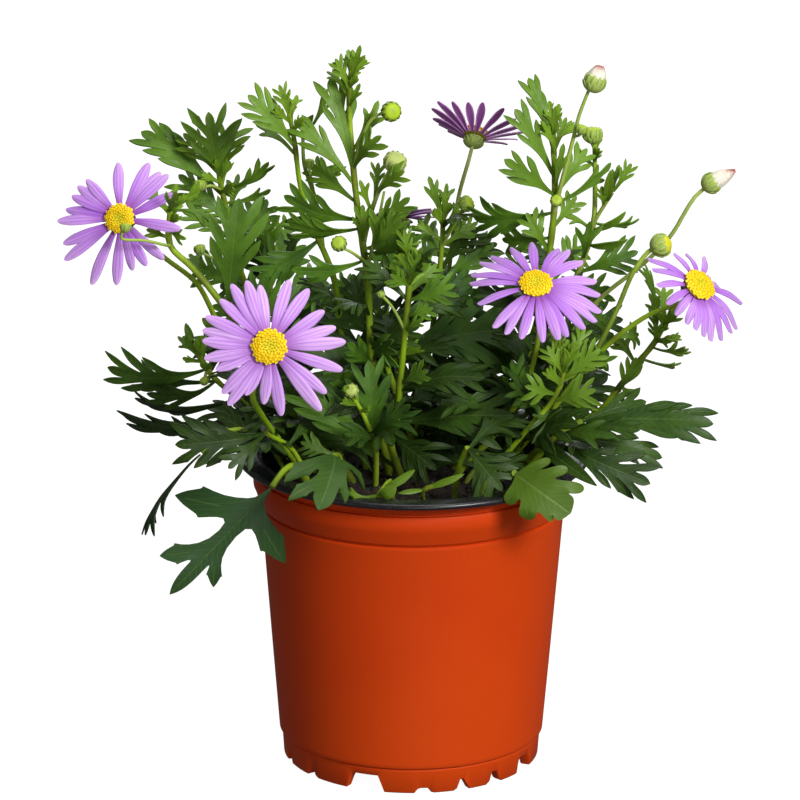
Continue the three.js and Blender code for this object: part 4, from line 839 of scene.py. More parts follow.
def thickened(sheet, thickness):
    """A flat sheet of faces, smoothed and given a thickness. Its back is of the next material."""
    return modified(
        sheet,
        SMOOTHED,
        ("SOLIDIFY", {"thickness": thickness, "offset": 0, "material_offset": 1}),
    )


def finished(name, shape, looks, nodes, sharp=60):
    """Makes the object of a finished piece, which stands for CAD nodes."""
    bmesh.ops.transform(shape, matrix=TO_PART, verts=shape.verts)
    mesh = bpy.data.meshes.new(name)
    shape.to_mesh(mesh)
    shape.free()
    mesh.shade_smooth()
    mesh.set_sharp_from_angle(angle=math.radians(sharp))
    for look in looks:
        mesh.materials.append(look)
    piece = bpy.data.objects.new(name, mesh)
    bpy.context.collection.objects.link(piece)
    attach(piece, "root")
    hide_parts(*nodes)


def grown(sheet, row, places):
    """Extrudes the edges between a row's corners and puts the new corners where places says."""
    edges = [sheet.edges.get(pair) for pair in zip(row, row[1:])]
    made = bmesh.ops.extrude_edge_only(sheet, edges=edges)["geom"]
    fresh = {part for part in made if isinstance(part, bmesh.types.BMVert)}
    new_row = []
    for corner in row:
        ends = (edge.other_vert(corner) for edge in corner.link_edges)
        new_row.append(next(end for end in ends if end in fresh))
    for corner, place in zip(new_row, places):
        corner.co = place
    return new_row


def chain(shape, places):
    """A run of edges through places."""
    corners = [shape.verts.new(place) for place in places]
    for pair in zip(corners, corners[1:]):
        shape.edges.new(pair)
    return corners


def spun(shape, profile, steps):
    """Turns a profile of radius and height all the way about the upright axis."""
    corners = chain(shape, [(radius, 0, height) for radius, height in profile])
    bmesh.ops.spin(shape, geom=corners + shape.edges[:], axis=(0, 0, 1), cent=(0, 0, 0),
                   angle=2 * math.pi, steps=steps, use_merge=True)
    bmesh.ops.remove_doubles(shape, verts=shape.verts, dist=1e-4)
    bmesh.ops.recalc_face_normals(shape, faces=shape.faces)
    return shape


def turned_to(axis, centre):
    """The place of a shape modelled upright at the origin."""
    return Matrix.Translation(centre) @ axis.to_track_quat("Z", "Y").to_matrix().to_4x4()


def strap(steps, columns):
    """A flat strip: x from 0 at its root to 1 at its tip, y from -1 to 1 across."""
    sheet = bmesh.new()
    bmesh.ops.create_grid(sheet, x_segments=steps, y_segments=columns, size=1)
    for corner in sheet.verts:
        corner.co.x = (corner.co.x + 1) / 2
    return sheet


# Stems
def smooth_line(points, spacing=2.5):
    """Closely spaced points of a smooth curve through points, which doesn't swing out at bends."""
    points = [points[0] * 2 - points[1], *points, points[-1] * 2 - points[-2]]
    line = []
    for before, here, there, after in zip(points, points[1:], points[2:], points[3:]):
        spans = (here - before, there - here, after - there)
        gaps = [max(1e-3, span.length) ** 0.5 for span in spans]
        slope_here = ((here - before) / gaps[0] - (there - before) / (gaps[0] + gaps[1])
                      + (there - here) / gaps[1]) * gaps[1]
        slope_there = ((there - here) / gaps[1] - (after - here) / (gaps[1] + gaps[2])
                       + (after - there) / gaps[2]) * gaps[1]
        steps = max(2, round((there - here).length / spacing))
        for step in range(steps):
            t = step / steps
            line.append(
                here * (2 * t**3 - 3 * t**2 + 1) + slope_here * (t**3 - 2 * t**2 + t)
                + there * (3 * t**2 - 2 * t**3) + slope_there * (t**3 - t**2)
            )
    line.append(points[-2])
    return line


def tube(line, girth, knots=()):
    """A tapered stem along a line, a little thicker where a leaf grows from it."""
    curve = bpy.data.curves.new("stem", "CURVE")
    curve.dimensions = "3D"
    curve.bevel_depth = 1
    curve.bevel_resolution = 2
    curve.use_fill_caps = True
    spline = curve.splines.new("POLY")
    spline.points.add(len(line) - 1)
    for i, place in enumerate(line):
        swollen = max((1 - (place - knot).length / SWELL_REACH for knot in knots), default=0)
        radius = girth[0] + (girth[1] - girth[0]) * i / (len(line) - 1)
        spline.points[i].co = (*place, 1)
        spline.points[i].radius = radius * (STEM_LOOK + 0.15 * max(0, swollen))
    holder = bpy.data.objects.new("stem", curve)
    bpy.context.collection.objects.link(holder)
    worked = holder.evaluated_get(bpy.context.evaluated_depsgraph_get())
    shape = bmesh.new()
    shape.from_mesh(worked.to_mesh())
    worked.to_mesh_clear()
    bpy.data.objects.remove(holder)
    bpy.data.curves.remove(curve)
    bmesh.ops.remove_doubles(shape, verts=shape.verts, dist=1e-3)
    bmesh.ops.recalc_face_normals(shape, faces=shape.faces)
    blush_and_shade = shape.verts.layers.float.new("blush_and_shade")
    for corner in shape.verts:
        spans = [(corner.co - knot).length for knot in knots]
        # Near a leaf's root the stem takes its own darker, browner tone; low down, towards the
        # soil, it is darkened with painted shade.
        near = max((1 - span / BLUSH_REACH for span in spans), default=0)
        low = 1 - eased(SOIL_TOP, SOIL_TOP + LOW_SHADE_HEIGHT, corner.co.z)
        corner[blush_and_shade] = max(0, 0.7 * near, 0.6 * low)
    mark(shape, wood=1)
    return shape


def hairs(line, girth, random):
    """Short pale hairs that stand out all round a stem."""
    shape = bmesh.new()
    turn = 0
    for i, (here, there) in enumerate(zip(line, line[1:])):
        if here.z < SOIL_TOP + 4:
            continue
        heading = (there - here).normalized()
        thick = (girth[0] + (girth[1] - girth[0]) * i / len(line)) * STEM_LOOK
        for _ in range(HAIRS_A_STEP):
            turn += GOLDEN_TURN
            out = Quaternion(heading, turn) @ heading.orthogonal().normalized()
            lean = (out + heading * 0.7 * next(random)).normalized()
            length = HAIR_LENGTH * (0.6 + 0.6 * next(random))
            place = here.lerp(there, next(random)) + out * thick * 0.9 + lean * length / 2
            bmesh.ops.create_cone(shape, cap_ends=True, segments=3, radius1=HAIR_RADIUS,
                                  radius2=HAIR_RADIUS / 3, depth=length,
                                  matrix=turned_to(lean, place))
    mark(shape, wood=1, pale=0.7)
    return shape


# Leaves
# Lobes of the large leaves, one side and then the other: where a lobe starts and ends along the
# rib, where its point is, and how far out, all as shares of the leaf's length
SHAPED_LOBES = {
    "drooping": [
        [(0.12, 0.27, 0.315, 0.42), (0.52, 0.66, 0.76, 0.18)],
        [(0.14, 0.34, 0.5, 0.44), (0.54, 0.72, 0.85, 0.23)],
    ],
    "broad": [
        [(0.12, 0.36, 0.3, 0.38), (0.46, 0.74, 0.8, 0.22)],
        [(0.26, 0.56, 0.82, 0.4), (0.64, 0.86, 1.0, 0.3)],
    ],
    "fan": [
        [(0.08, 0.28, 0.3, 0.45), (0.32, 0.54, 0.6, 0.49), (0.58, 0.82, 0.94, 0.39)],
        [(0.06, 0.28, 0.16, 0.42), (0.34, 0.62, 0.53, 0.44), (0.66, 0.86, 0.86, 0.24)],
    ],
}
# How wide the blade is between the lobes of those leaves, as a share of the length
SHAPED_WEB = {"drooping": 0.055, "broad": 0.13, "fan": 0.28}
# How far each lobe reaches out beside the leaf's width, for one to four pairs
LOBE_REACH = [[1], [0.95, 0.85], [0.8, 1, 0.72], [0.72, 1, 0.95, 0.62]]
# How far along a lobe its rows of corners are, and how wide it is there
BLUNT_LOBE = ((0.35, 1), (0.7, 0.95), (0.92, 0.7), (1, 0.3))
POINTED_LOBE = ((0.3, 0.85), (0.6, 1.1), (0.83, 0.72), (1, 0.04))
# The same for the end of a leaf with lobes and of a plain one, and where their first rows are
LOBED_END = ((0.3, 1.1), (0.62, 0.95), (0.84, 0.6), (1.0, 0.05))
PLAIN_END = ((0.6, 0.55), (1.0, 0.06))
PLAIN_ROWS = (0.0, 0.14, 0.3, 0.5, 0.7, 0.86)
LOBED_ROWS = (0.0, 0.35, 0.7)
# A lobe that reaches further than this may have teeth
LARGE_LOBE = 6


def lobes_of(row, length, random):
    """The lobes on the two sides of a leaf, in rows like those of SHAPED_LOBES."""
    if isinstance(row["pairs"], str):
        return SHAPED_LOBES[row["pairs"]]
    half = row["width"] / 2 / length
    pairs = row["pairs"]
    first = FIRST_LOBES[pairs - 1] if pairs else 1
    pitch = (LAST_LOBE - first) / max(1, pairs)
    sides = []
    for _ in range(2):
        slide = 0.3 * pitch * (next(random) - 0.5)
        lobes = []
        for i in range(pairs):
            start = first + pitch * i + slide
            reach = half * LOBE_REACH[pairs - 1][i] * (0.85 + 0.3 * next(random))
            point = min(1.03, start + 0.3 + 0.08 * next(random))
            lobes.append((start, start + 0.84 * pitch, point, reach))
        sides.append(lobes)
    return sides


def lobe(sheet, rim, lobe_row, tilt, toothed, blunt, rib, left):
    """Grows a lobe from three corners of the blade's rim: widest past its middle, with a point
    or, where it is blunt, a round end, and a tooth on each side in toothed."""
    _, _, at, out = lobe_row
    root = rim[1].co.copy()
    reach = Vector((at, out if left else -out, 0)) - Vector((root.x, root.y, 0))
    span = reach.length
    along = reach / span
    across = Vector((-along.y, along.x, 0))
    root_wide = 0.5 * abs((rim[2].co - rim[0].co).dot(across))
    wide = root_wide if blunt else min(0.19 * span, max(0.13 * span, root_wide))
    flip = 1 if (rim[2].co - rim[0].co).dot(across) > 0 else -1
    row = rim
    for share, breadth in BLUNT_LOBE if blunt else POINTED_LOBE:
        middle = Vector((root.x, root.y, 0)) + reach * share
        middle.z = root.z + tilt * span * share * share - 0.1 * span * share * share
        places = []
        for side in (-1, 0, 1):
            lift = Vector((0, 0, 0.3 * wide * breadth * abs(side)))
            places.append(middle + across * (flip * side * wide * breadth) + lift)
        last, row = row, grown(sheet, row, places)
        row[1][rib] = 1 if share < 0.9 else 0.4
        if toothed and share == 0.6:
            for side in toothed:
                pair = (last[0], row[0]) if side < 0 else (last[2], row[2])
                peg = (pair[0].co + pair[1].co * 3) / 4 + across * (flip * side * 0.3 * wide)
                peg = peg + along * 0.5 * wide
                grown(sheet, list(pair), [peg - along * 0.1 * wide, peg])


def half_width(row, length, lobes):
    """A function for how wide one side of a leaf is at a place along its rib, its lobes left out,
    and where the first lobe starts."""
    plain = row["width"] / 2 / length
    root_half = 0.45 / length
    if row["pairs"] in SHAPED_WEB:
        widest = SHAPED_WEB[row["pairs"]]
    else:
        widest = 0.034 + 0.06 * min(1, row["width"] / length) + 0.012 * eased(26, 40, length)
    first = min((side[0][0] for side in lobes if side), default=1)

    def half(x):
        if not lobes[0]:
            return max(root_half, plain * math.sin(math.pi * (0.1 + 0.82 * x)))
        web = max(0.6 / length, widest * math.sin(math.pi * (0.18 + 0.68 * x)))
        return web if x >= first else root_half + (web - root_half) * (x / first) ** 1.6

    return half, first


def leaf_rows(sheet, lobes, half, first, length):
    """The rows of a leaf's blade, each with a corner on the left rim, the rib and the right rim."""
    stations = [(x, x) for x in PLAIN_ROWS]
    if lobes[0]:
        stations = [(x * first, x * first) for x in LOBED_ROWS]
    for one, other in zip(*lobes):
        for share in (0, 0.5, 1):
            stations.append(tuple(lo + (hi - lo) * share for lo, hi, _, _ in (one, other)))
    rows = []
    for left, right in stations:
        places = [
            Vector((left, half(left), 0.25 * half(left))),
            Vector(((left + right) / 2, 0, 0)),
            Vector((right, -half(right), 0.25 * half(right))),
        ]
        rows.append(grown(sheet, rows[-1], places) if rows else chain(sheet, places))
    end = sum(stations[-1]) / 2
    wide = max(half(end), min(0.055, 1.6 / length) if lobes[0] else 0)
    for share, breadth in LOBED_END if lobes[0] else PLAIN_END:
        x = end + (1 - end) * share
        y = (wide if share > 0.5 or not lobes[0] else (wide + half(end)) / 2) * breadth
        rows.append(grown(sheet, rows[-1], [(x, y, 0.25 * y), (x, 0, 0), (x, -y, 0.25 * y)]))
    return rows


def leaf_sheet(row, length, random):
    """A leaf laid flat, in shares of its length: x along its rib and y out to its sides."""
    lobes = lobes_of(row, length, random)
    shaped = row["pairs"] in SHAPED_LOBES
    blunt = row["pairs"] == "fan"
    half, first = half_width(row, length, lobes)
    sheet = bmesh.new()
    rib = sheet.verts.layers.float.new("rib")
    rows = leaf_rows(sheet, lobes, half, first, length)
    for line in rows:
        line[1][rib] = 1
    for k, side in enumerate(lobes):
        for i, lobe_row in enumerate(side):
            start = len(LOBED_ROWS) + 3 * i
            rim = [line[0 if k == 0 else 2] for line in rows[start:start + 3]]
            large = abs(lobe_row[3]) * length > LARGE_LOBE
            teeth = []
            if not blunt:
                teeth = [end for end in (-1, 1) if shaped or (large and next(random) > 0.55)]
            lobe(sheet, rim, lobe_row, 0.5 * (next(random) - 0.5), teeth, blunt, rib, k == 0)
    bmesh.ops.recalc_face_normals(sheet, faces=sheet.faces)
    if sum(face.normal.z for face in sheet.faces) < 0:
        bmesh.ops.reverse_faces(sheet, faces=sheet.faces)
    return sheet


def leaf_blade(row, base, tip, random, looks, toward=TO_VIEWER):
    """A leaf between two points, with its lobes, arch and looks, its upper side turned toward."""
    chord = tip - base
    length = chord.length
    chord.normalize()
    up = (toward - chord * toward.dot(chord)).normalized()
    up.rotate(Quaternion(chord, math.radians(row["turn"])))
    side = up.cross(chord)
    sheet = leaf_sheet(row, length, random)
    wave = next(random) * 6
    vein = sheet.verts.layers.float.new("vein")
    curl = 0.03 * (next(random) - 0.5)
    for corner in sheet.verts:
        x, y, z = corner.co
        corner[vein] = (x - 1.1 * abs(y)) * length / VEIN_SPACING
        ripple = 0.012 * math.sin(9 * x + wave) + curl * math.sin(14 * y + wave)
        lift = z + 4 * row["arch"] * x * (1 - x) - 0.5 * y * y + ripple * min(1, 4 * x)
        corner.co = base + chord * (x * length) + side * (y * length) + up * (lift * length)
    young, cool = looks
    height = eased(125, 205, tip.z)
    small = 1 - eased(8, 24, length)
    # Painted shade: leaves whose tips are low in the plant are darkened, less so for young and cool
    # ones.
    mark(sheet, young=min(1, young + 0.45 * height + 0.35 * small + 0.15 * next(random)),
         cool=cool + 0.25 * next(random), mood=2 * next(random) - 1,
         deep=(1 - eased(96, 142, tip.z)) * (1 - young) * (1 - 0.7 * cool))
    return sheet


def in_crown(point):
    """Whether a point is seen against the dense part of the foliage and is clear of flowers."""
    spot = on_sheet(point)
    for bloom in BLOOMS.values():
        away = point - seen(*bloom["at"])
        height = away.dot(facing(*bloom["faces"]))
        if height > -5 and (away - facing(*bloom["faces"]) * height).length < 23:
            return False
    inside = False
    for (across, rise), (next_across, next_rise) in zip(CROWN, CROWN[1:] + CROWN[:1]):
        if (rise > spot.y) != (next_rise > spot.y):
            crossing = across + (next_across - across) * (spot.y - rise) / (next_rise - rise)
            inside ^= spot.x < crossing
    return inside and -32 < point.y < 48


def inner_leaves(line, random):
    """Leaves all round a stem low in the plant, a golden angle apart, smaller further up."""
    found = []
    travelled = 0
    turn = FULL_TURN * next(random)
    for here, there in zip(line, line[1:]):
        travelled += (there - here).length
        if travelled < INNER_SPACING or here.z < SOIL_TOP + 5:
            continue
        travelled = 0
        turn += GOLDEN_TURN
        high = eased(95, 165, here.z)
        length = 27 - 14 * high + 5 * next(random)
        slope = math.radians(12 + 38 * next(random))
        out = Vector((math.cos(turn), math.sin(turn), 0)) * math.cos(slope)
        tip = here + (out + (there - here).normalized() * math.sin(slope)) * length
        if in_crown(tip) and in_crown((here + tip) / 2) and in_crown(here):
            row = {"width": length * (0.42 + 0.16 * next(random)), "pairs": 3 if length > 15 else 2,
                   "turn": 40 * (next(random) - 0.5), "arch": 0.06 + 0.1 * next(random)}
            found.append((row, here.lerp(tip, 0.02), tip))
    return found


def shoot_leaves(line, count, length, random):
    """Young leaves crowded round the end of a shoot."""
    heading = (line[-1] - line[-4]).normalized()
    across = heading.orthogonal()
    turn = FULL_TURN * next(random)
    found = []
    for i in range(count):
        share = i / (count - 1)
        here = line[-1] - heading * (1 - share) * length
        turn += GOLDEN_TURN
        out = Quaternion(heading, turn) @ across
        slope = math.radians(38 + 40 * share + 12 * next(random))
        reach = length * (1 - 0.3 * share) * (0.75 + 0.35 * next(random))
        tip = here + (heading * math.sin(slope) + out * math.cos(slope)) * reach
        row = {"width": reach * 0.42, "pairs": 2 if reach > 6 else 1,
               "turn": 60 * (next(random) - 0.5), "arch": 0.08}
        found.append((row, here, tip))
    return found


# Buds and flowers
def bract(row_radius, reach, wide, twist, lean, length_share):
    """One scale of a cup or a bud on a ball of radius 1 at the origin: it starts at the polar angle
    row_radius from the underside and runs up the ball."""
    sheet = strap(4, 2)
    rib = sheet.verts.layers.float.new("rib")
    for corner in sheet.verts:
        x, y = corner.co.x, corner.co.y
        corner[rib] = 1 - abs(y)
        polar = math.pi - (row_radius + reach * x)
        breadth = wide * (0.75 + 0.5 * x) * (1 - x**3) + 0.02
        turn = twist + y * breadth / max(0.3, math.sin(polar))
        out = 1.03 + lean * x * x + 0.05 * (1 - y * y)
        corner.co = Vector((
            math.cos(turn) * math.sin(polar) * out,
            math.sin(turn) * math.sin(polar) * out,
            math.cos(polar) * out * length_share,
        ))
    return sheet


def bud_shape(one, random):
    """A round bud: a ball in two rows of scales, which leave its flat top open."""
    radius = one["radius"]
    shape = bmesh.new()
    bmesh.ops.create_uvsphere(shape, u_segments=18, v_segments=12, radius=0.99)
    young = shape.verts.layers.float.new("young")
    for corner in shape.verts:
        reach = math.hypot(corner.co.x, corner.co.y)
        flat = eased(0.45, 0.7, corner.co.z)
        corner[young] = (0.4 + 0.6 * flat) * (1 - 0.45 * eased(0.5, 0, reach))
        if corner.co.z > 0.5:
            corner.co.z = 0.5 + 0.4 * (corner.co.z - 0.5) + 0.04 * noise.noise(corner.co * 5)
    mark(shape, bud=1)
    count = 11 if radius > 2 else 8
    rows = ((0.25, 1.2), (0.2, 2.1)) if radius > 2 else ((0.3, 1.9),)
    scales = bmesh.new()
    for order, (start, reach) in enumerate(rows):
        for i in range(count):
            twist = 2 * math.pi * (i + 0.5 * order + 0.2 * next(random)) / count
            scale = bract(start, reach, 2.7 / count, twist, 0.05 - 0.02 * order, 1)
            for corner in scale.verts:
                corner.co.z = min(corner.co.z, 0.5 + 0.4 * (corner.co.z - 0.5))
            mark(scale, young=0.25 + 0.3 * next(random), bud=1)
            join(scales, scale)
    bmesh.ops.recalc_face_normals(scales, faces=scales.faces)
    join(shape, modified(scales, ("SOLIDIFY", {"thickness": 0.08, "offset": 1}), SMOOTHED))
    mark(shape, pale=one["pale"])
    axis = facing(*one["points"])
    bmesh.ops.transform(
        shape, matrix=turned_to(axis, seen(*one["at"])) @ Matrix.Scale(radius, 4), verts=shape.verts
    )
    return shape


# For each ripe bud, in shares of its radius: how high its petals reach, how far from the middle
# they end and how high they start
RIPE_TIPS = {"pink": (2.4, 0.3, 0), "tall": (1.42, 0.45, 0), "cup": (0.8, 0.1, 0.3)}
RIPE_PETALS = 9


def ripe_tip(one, random):
    """The petals that show at the top of a ripe bud, folded together."""
    shape = bmesh.new()
    long, closing, start = RIPE_TIPS[one["ripe"]]
    for i in range(RIPE_PETALS):
        sheet = strap(5, 2)
        turn = 2 * math.pi * (i + 0.3 * next(random)) / RIPE_PETALS
        top = long * (0.9 + 0.2 * next(random))
        for corner in sheet.verts:
            x, y = corner.co.x, corner.co.y
            out = 0.93 - (0.93 - closing) * x**2.6 + 0.04 * math.sin(math.pi * x)
            breadth = 0.42 * (1 - 0.85 * x**3)
            corner.co = Vector((out - 0.25 * y * y, y * breadth, start + (top - start) * x))
        bmesh.ops.rotate(sheet, verts=sheet.verts, matrix=Matrix.Rotation(turn, 3, "Z"))
        along = sheet.verts.layers.float.new("along")
        for corner in sheet.verts:
            corner[along] = (corner.co.z - start) / (top - start)
        mark(sheet, pale=0.6 * next(random))
        join(shape, sheet)
    shape = modified(shape, SMOOTHED, ("SOLIDIFY", {"thickness": 0.1, "offset": 0}))
    matrix = turned_to(facing(*one["points"]), seen(*one["at"])) @ Matrix.Scale(one["radius"], 4)
    bmesh.ops.transform(shape, matrix=matrix, verts=shape.verts)
    return shape


def petal_directions(bloom, axis, random):
    """The direction of each petal in the flower's plane, with its length."""
    if "spread" in bloom:
        count = bloom["spread"]
        across = (Vector((1, 0, 0)) - axis * axis.x).normalized()
        along = axis.cross(across)
        found = []
        for i in range(count):
            angle = 2 * math.pi * (i + 0.3 * next(random)) / count
            length = bloom["length"] * (0.94 + 0.1 * next(random))
            found.append((across * math.cos(angle) + along * math.sin(angle), length))
        return found
    found = []
    for degrees, length in bloom["petals"]:
        angle = math.radians(degrees)
        direction = SHEET_RIGHT * math.cos(angle) + SHEET_UP * math.sin(angle)
        direction -= TO_VIEWER * (direction.dot(axis) / TO_VIEWER.dot(axis))
        found.append((direction.normalized(), length))
    return found


def petal(centre, axis, direction, length, bloom, order, random):
    """One strap petal: narrow at its root, round at its tip, with two long grooves."""
    sheet = strap(8, 6)
    across = axis.cross(direction)
    half = PETAL_WIDTH / 2 * bloom["wide"] * (0.92 + 0.14 * next(random))
    sag = bloom["sag"] * (0.75 + 0.5 * next(random))
    roll = 0.16 + 0.3 * (next(random) - 0.5)
    bend = 1.6 * (next(random) - 0.5)
    step = 0.16 * (order % 2)
    along = sheet.verts.layers.float.new("along")
    edge = sheet.verts.layers.float.new("edge")
    for corner in sheet.verts:
        x, y = corner.co.x, corner.co.y
        corner[along] = x
        corner[edge] = y
        width = half * (0.42 + 0.58 * eased(0, 0.55, x)) * (1 - 0.42 * eased(0.8, 1.0, x))
        tip_round = half * 0.75 * y * y * eased(0.55, 1.0, x)
        reach = PETAL_START + x * (length - PETAL_START) - tip_round
        groove = 0.085 * math.cos(3 * math.pi * y) * (1 - eased(0.75, 1, x))
        height = (bloom["rise"] * x - sag * x * x) * length
        height += width * y * roll - 0.14 * half * y * y + groove + step
        corner.co = centre + direction * reach + across * (width * y + bend * x * x) + axis * height
    mark(sheet, pale=min(1, max(0, bloom["pale"] + 0.6 * (next(random) - 0.5))))
    return sheet


def floret_kinds():
    """The two florets of a disc: a closed one, and an open one with five points."""
    closed = bmesh.new()
    bmesh.ops.create_icosphere(closed, subdivisions=1, radius=0.36)
    bmesh.ops.scale(closed, vec=(1, 1, 1.5), verts=closed.verts)
    mark(closed, tip=0.2)
    opened = bmesh.new()
    bmesh.ops.create_circle(opened, cap_ends=True, cap_tris=True, segments=10, radius=0.3)
    tip = opened.verts.layers.float.new("tip")
    rim = [edge for edge in opened.edges if edge.is_boundary]
    skirt = bmesh.ops.extrude_edge_only(opened, edges=rim)["geom"]
    for corner in skirt:
        if isinstance(corner, bmesh.types.BMVert):
            corner.co.z = -0.9
    for corner in opened.verts:
        if corner.co.z < -0.5 or corner.co.length < 0.1:
            continue
        star = math.cos(5 * math.atan2(corner.co.y, corner.co.x))
        corner.co *= 1.75 + 0.85 * star
        corner.co.z = 0.35 + 0.15 * star
        corner[tip] = 0.6 + 0.4 * star
    bmesh.ops.recalc_face_normals(opened, faces=opened.faces)
    kinds = []
    for shape in (closed, opened):
        mesh = bpy.data.meshes.new("floret")
        shape.to_mesh(mesh)
        shape.free()
        kinds.append(mesh)
    return kinds


def flower_disc(centre, axis, random, kinds):
    """The yellow middle: a low dome with florets in a sunflower's spiral, the outer ones open.
    The whole disc takes the size of the last floret, so discs differ a little."""
    low = 0.4
    high = low + DISC_HEIGHT
    shape = bmesh.new()
    dome = [(0.001, high - 1.0), (1.6, high - 0.75), (3.0, high - 0.7), (4.0, high - 1.2),
            (4.5, low + 0.4), (4.3, low), (0.001, low)]
    spun(shape, dome, 24)
    mark(shape, ring=0.5)
    for i in range(FLORETS):
        share = ((i + 0.5) / FLORETS) ** 0.5
        angle = FLORET_TURN * i
        reach = (DISC_RADIUS - 0.55) * share
        drop = 0.35 + 2.1 * eased(0.55, 1.05, share) - 0.3 * eased(0, 0.4, share)
        is_open = share > 0.66
        lean = 0.15 + 0.75 * share
        radial = Vector((math.cos(angle), math.sin(angle), 0))
        place = radial * reach + Vector((0, 0, high - 0.4 * drop - 0.55))
        stand = Vector((0, 0, 1)) + radial * lean * (1 if is_open else 0.4)
        size = (0.82 + 0.25 * next(random)) * (1.0 if is_open else 0.85 + 0.3 * share)
        matrix = turned_to(stand.normalized(), place) @ Matrix.Scale(size, 4)
        matrix = matrix @ Matrix.Rotation(FULL_TURN * next(random), 4, "Z")
        floret = kinds[is_open].copy()
        floret.transform(matrix)
        count = len(shape.verts)
        shape.from_mesh(floret)
        shape.verts.ensure_lookup_table()
        ring = shape.verts.layers.float["ring"]
        for corner in shape.verts[count:]:
            corner[ring] = share
        bpy.data.meshes.remove(floret)
    matrix = turned_to(axis, centre) @ Matrix.Scale(size, 4)
    bmesh.ops.transform(shape, matrix=matrix, verts=shape.verts)
    return shape


def flower_cup(centre, axis, size, random):
    """The green cup behind a flower: a bowl in two rows of pointed scales."""
    shape = bmesh.new()
    bowl = [(0.001, -CUP_DEPTH - 0.2), (1.2, -CUP_DEPTH + 0.1),
            (CUP_RADIUS - 1.0, -CUP_DEPTH + 1.5), (CUP_RADIUS, -1.9),
            (CUP_RADIUS - 0.3, -0.5), (0.001, -0.35)]
    spun(shape, bowl, 28)
    mark(shape, young=0.5, bud=0.5)
    scales = bmesh.new()
    for row in range(2):
        for i in range(CUP_SCALES):
            sheet = strap(5, 2)
            turn = 2 * math.pi * (i + 0.5 * row + 0.2 * next(random)) / CUP_SCALES
            for corner in sheet.verts:
                x, y = corner.co.x, corner.co.y
                out = 0.9 + (CUP_RADIUS - 0.6) * math.sin(1.5 * x) + 0.12 * row
                up = -CUP_DEPTH + (CUP_DEPTH - 0.8 - 1.1 * row) * x**1.6
                breadth = (0.45 + 0.5 * math.sin(1.9 * x)) * (1 - x**4) + 0.05
                corner.co = Vector((out + 0.12 * (1 - y * y), y * breadth, up))
            bmesh.ops.rotate(sheet, verts=sheet.verts, matrix=Matrix.Rotation(turn, 3, "Z"))
            mark(sheet, young=0.4 + 0.3 * next(random), bud=0.8)
            join(scales, sheet)
    bmesh.ops.recalc_face_normals(scales, faces=scales.faces)
    join(shape, modified(scales, ("SOLIDIFY", {"thickness": 0.22, "offset": 1}), SMOOTHED))
    # Paled, partly the cup's own tone and partly painted light from below.
    mark(shape, pale=0.6)
    matrix = turned_to(axis, centre) @ Matrix.Scale(size, 4)
    bmesh.ops.transform(shape, matrix=matrix, verts=shape.verts)
    return shape


# Node trees
class Wire:
    """A socket of a node tree. Sums, products and powers of wires and numbers add Math nodes."""

    def __init__(self, tree, socket=None):
        self.tree = tree
        self.socket = socket

    def node(self, kind, settings=None, sockets=None, output=0):
        """A new node: its kind, its settings, and the values or wires of its sockets."""
        made = self.tree.nodes.new(kind)
        for name, value in (settings or {}).items():
            setattr(made, name, value)
        for key, value in (sockets or {}).items():
            if isinstance(value, Wire):
                self.tree.links.new(value.socket, made.inputs[key])
            else:
                made.inputs[key].default_value = value
        return Wire(self.tree, made.outputs[output])

    def maths(self, operation, first, second):
        return self.node("ShaderNodeMath", {"operation": operation}, {0: first, 1: second})

    def turned(self, operation):
        """The sine or cosine of this value."""
        return self.node("ShaderNodeMath", {"operation": operation}, {0: self})

    def __add__(self, other):
        return self.maths("ADD", self, other)

    __radd__ = __add__

    def __sub__(self, other):
        return self.maths("SUBTRACT", self, other)

    def __rsub__(self, other):
        return self.maths("SUBTRACT", other, self)

    def __mul__(self, other):
        return self.maths("MULTIPLY", self, other)

    __rmul__ = __mul__

    def __pow__(self, other):
        return self.maths("POWER", self, other)

    def named(self, name):
        """A value that the piece's corners carry."""
        return self.node("ShaderNodeAttribute", {"attribute_name": name}, output="Fac")

    def place(self):
        return self.node("ShaderNodeTexCoord", output="Object")

    def noise(self, scale, detail=3, rough=0.5):
        return self.node("ShaderNodeTexNoise", sockets={
            "Vector": self.place(), "Scale": scale, "Detail": detail, "Roughness": rough})

    def eased(self, low, high):
        return self.node("ShaderNodeMapRange", {"interpolation_type": "SMOOTHSTEP"},
                         {"Value": self, "From Min": low, "From Max": high})

    def tinted(self, first, second):
        """A colour that goes from the first to the second as this value goes from 0 to 1."""
        return self.node("ShaderNodeMix", {"data_type": "RGBA"}, {0: self, 6: first, 7: second},
                         output=2)

    def bump(self, strength, distance):
        return self.node("ShaderNodeBump", sockets={
            "Height": self, "Strength": strength, "Distance": distance}, output="Normal")


def finish_of(name, look, **fixed):
    """A material: look gives what changes over the surface, and fixed what doesn't."""
    made = bpy.data.materials.new(name)
    made.use_nodes = True
    shader = made.node_tree.nodes["Principled BSDF"]
    for key, value in fixed.items():
        shader.inputs[key.replace("_", " ")].default_value = value
    for key, wire in look(Wire(made.node_tree)).items():
        made.node_tree.links.new(wire.socket, shader.inputs[key])
    return made


def rgb(red, green, blue):
    """A colour given as it looks on screen, in 0 to 255, as the linear values that nodes take."""
    shown = (red, green, blue)
    return (*(((c / 255 + 0.055) / 1.055) ** 2.4 if c > 10 else c / 3294 for c in shown), 1)


